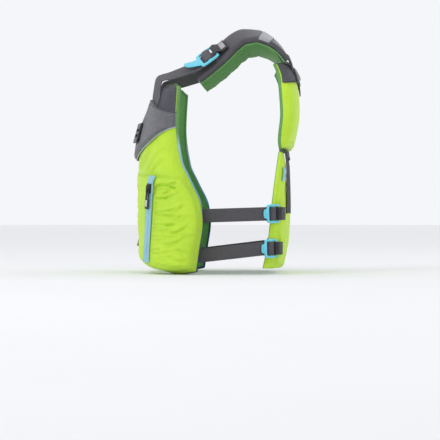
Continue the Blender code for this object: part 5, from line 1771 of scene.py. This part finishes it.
def make_camera():
    """Level camera on the wearer's left, a little behind, as far off as a studio portrait."""
    data = bpy.data.cameras.new("camera")
    data.sensor_width = 36
    near = CAMERA_DISTANCE - 0.12
    data.lens = data.sensor_width * near / VIEW_WIDTH
    camera = bpy.data.objects.new("camera", data)
    bpy.context.scene.collection.objects.link(camera)
    angle = math.radians(CAMERA_AZIMUTH - 90)
    aim = Vector((0.12, AIM_Y, CAMERA_HEIGHT))
    camera.location = aim + Vector((math.cos(angle), math.sin(angle), 0)) * near
    camera.rotation_euler = (aim - camera.location).to_track_quat("-Z", "Y").to_euler()
    bpy.context.scene.camera = camera


def make_light(name, place, size, power):
    data = bpy.data.lights.new(name, "AREA")
    data.size, data.energy = size, power
    light = bpy.data.objects.new(name, data)
    bpy.context.scene.collection.objects.link(light)
    light.location = place
    light.rotation_euler = (Vector((0, 0, 0.22)) - Vector(place)).to_track_quat("-Z", "Y").to_euler()


def make_stage():
    """Pale floor, pale surroundings and broad soft lights."""
    bpy.context.scene.view_settings.view_transform = "Standard"
    shade = Shade("floor", 0.9)
    grain = shade.noise(shade.solid(), 0.4, 2)
    material = shade.finish(shade.mix(grain, (0.86, 0.86, 0.87), (0.90, 0.90, 0.90)))
    mesh = bpy.data.meshes.new("floor")
    corners = [(x * FLOOR_HALF, y * FLOOR_HALF, FLOOR_Z) for x, y in ((-1, -1), (1, -1), (1, 1), (-1, 1))]
    mesh.from_pydata(corners, [], [(0, 1, 2, 3)])
    floor = bpy.data.objects.new("floor", mesh)
    bpy.context.scene.collection.objects.link(floor)
    mesh.materials.append(material)
    world = bpy.data.worlds.new("studio")
    world.use_nodes = True
    world.node_tree.nodes["Background"].inputs["Color"].default_value = (0.96, 0.97, 1.0, 1)
    world.node_tree.nodes["Background"].inputs["Strength"].default_value = 0.95
    bpy.context.scene.world = world
    make_light("key", (1.9, -1.7, 2.3), 1.0, 17)
    make_light("rim", (-0.8, 2.2, 1.8), 1.0, 5)


def build():
    looks = make_materials()
    make_camera()
    make_stage()
    cover, pocket, chest = front_surface(), pocket_surface(), chest_surface()
    for side, flip in SIDES:
        make_front_cover(side, flip, cover, looks)
        make_pocket(side, flip, pocket, looks)
        make_chest(side, flip, chest, looks)
        make_front_yoke(side, flip, looks)
        make_straps(side, flip, looks)
        make_front_trim(side, flip, looks)
        make_shoulder(side, flip, looks)
        make_side_lock(side, flip, looks)
    make_zips(looks)
    make_back(looks)
    make_band(looks)
    make_mesh_panel(looks)


build()
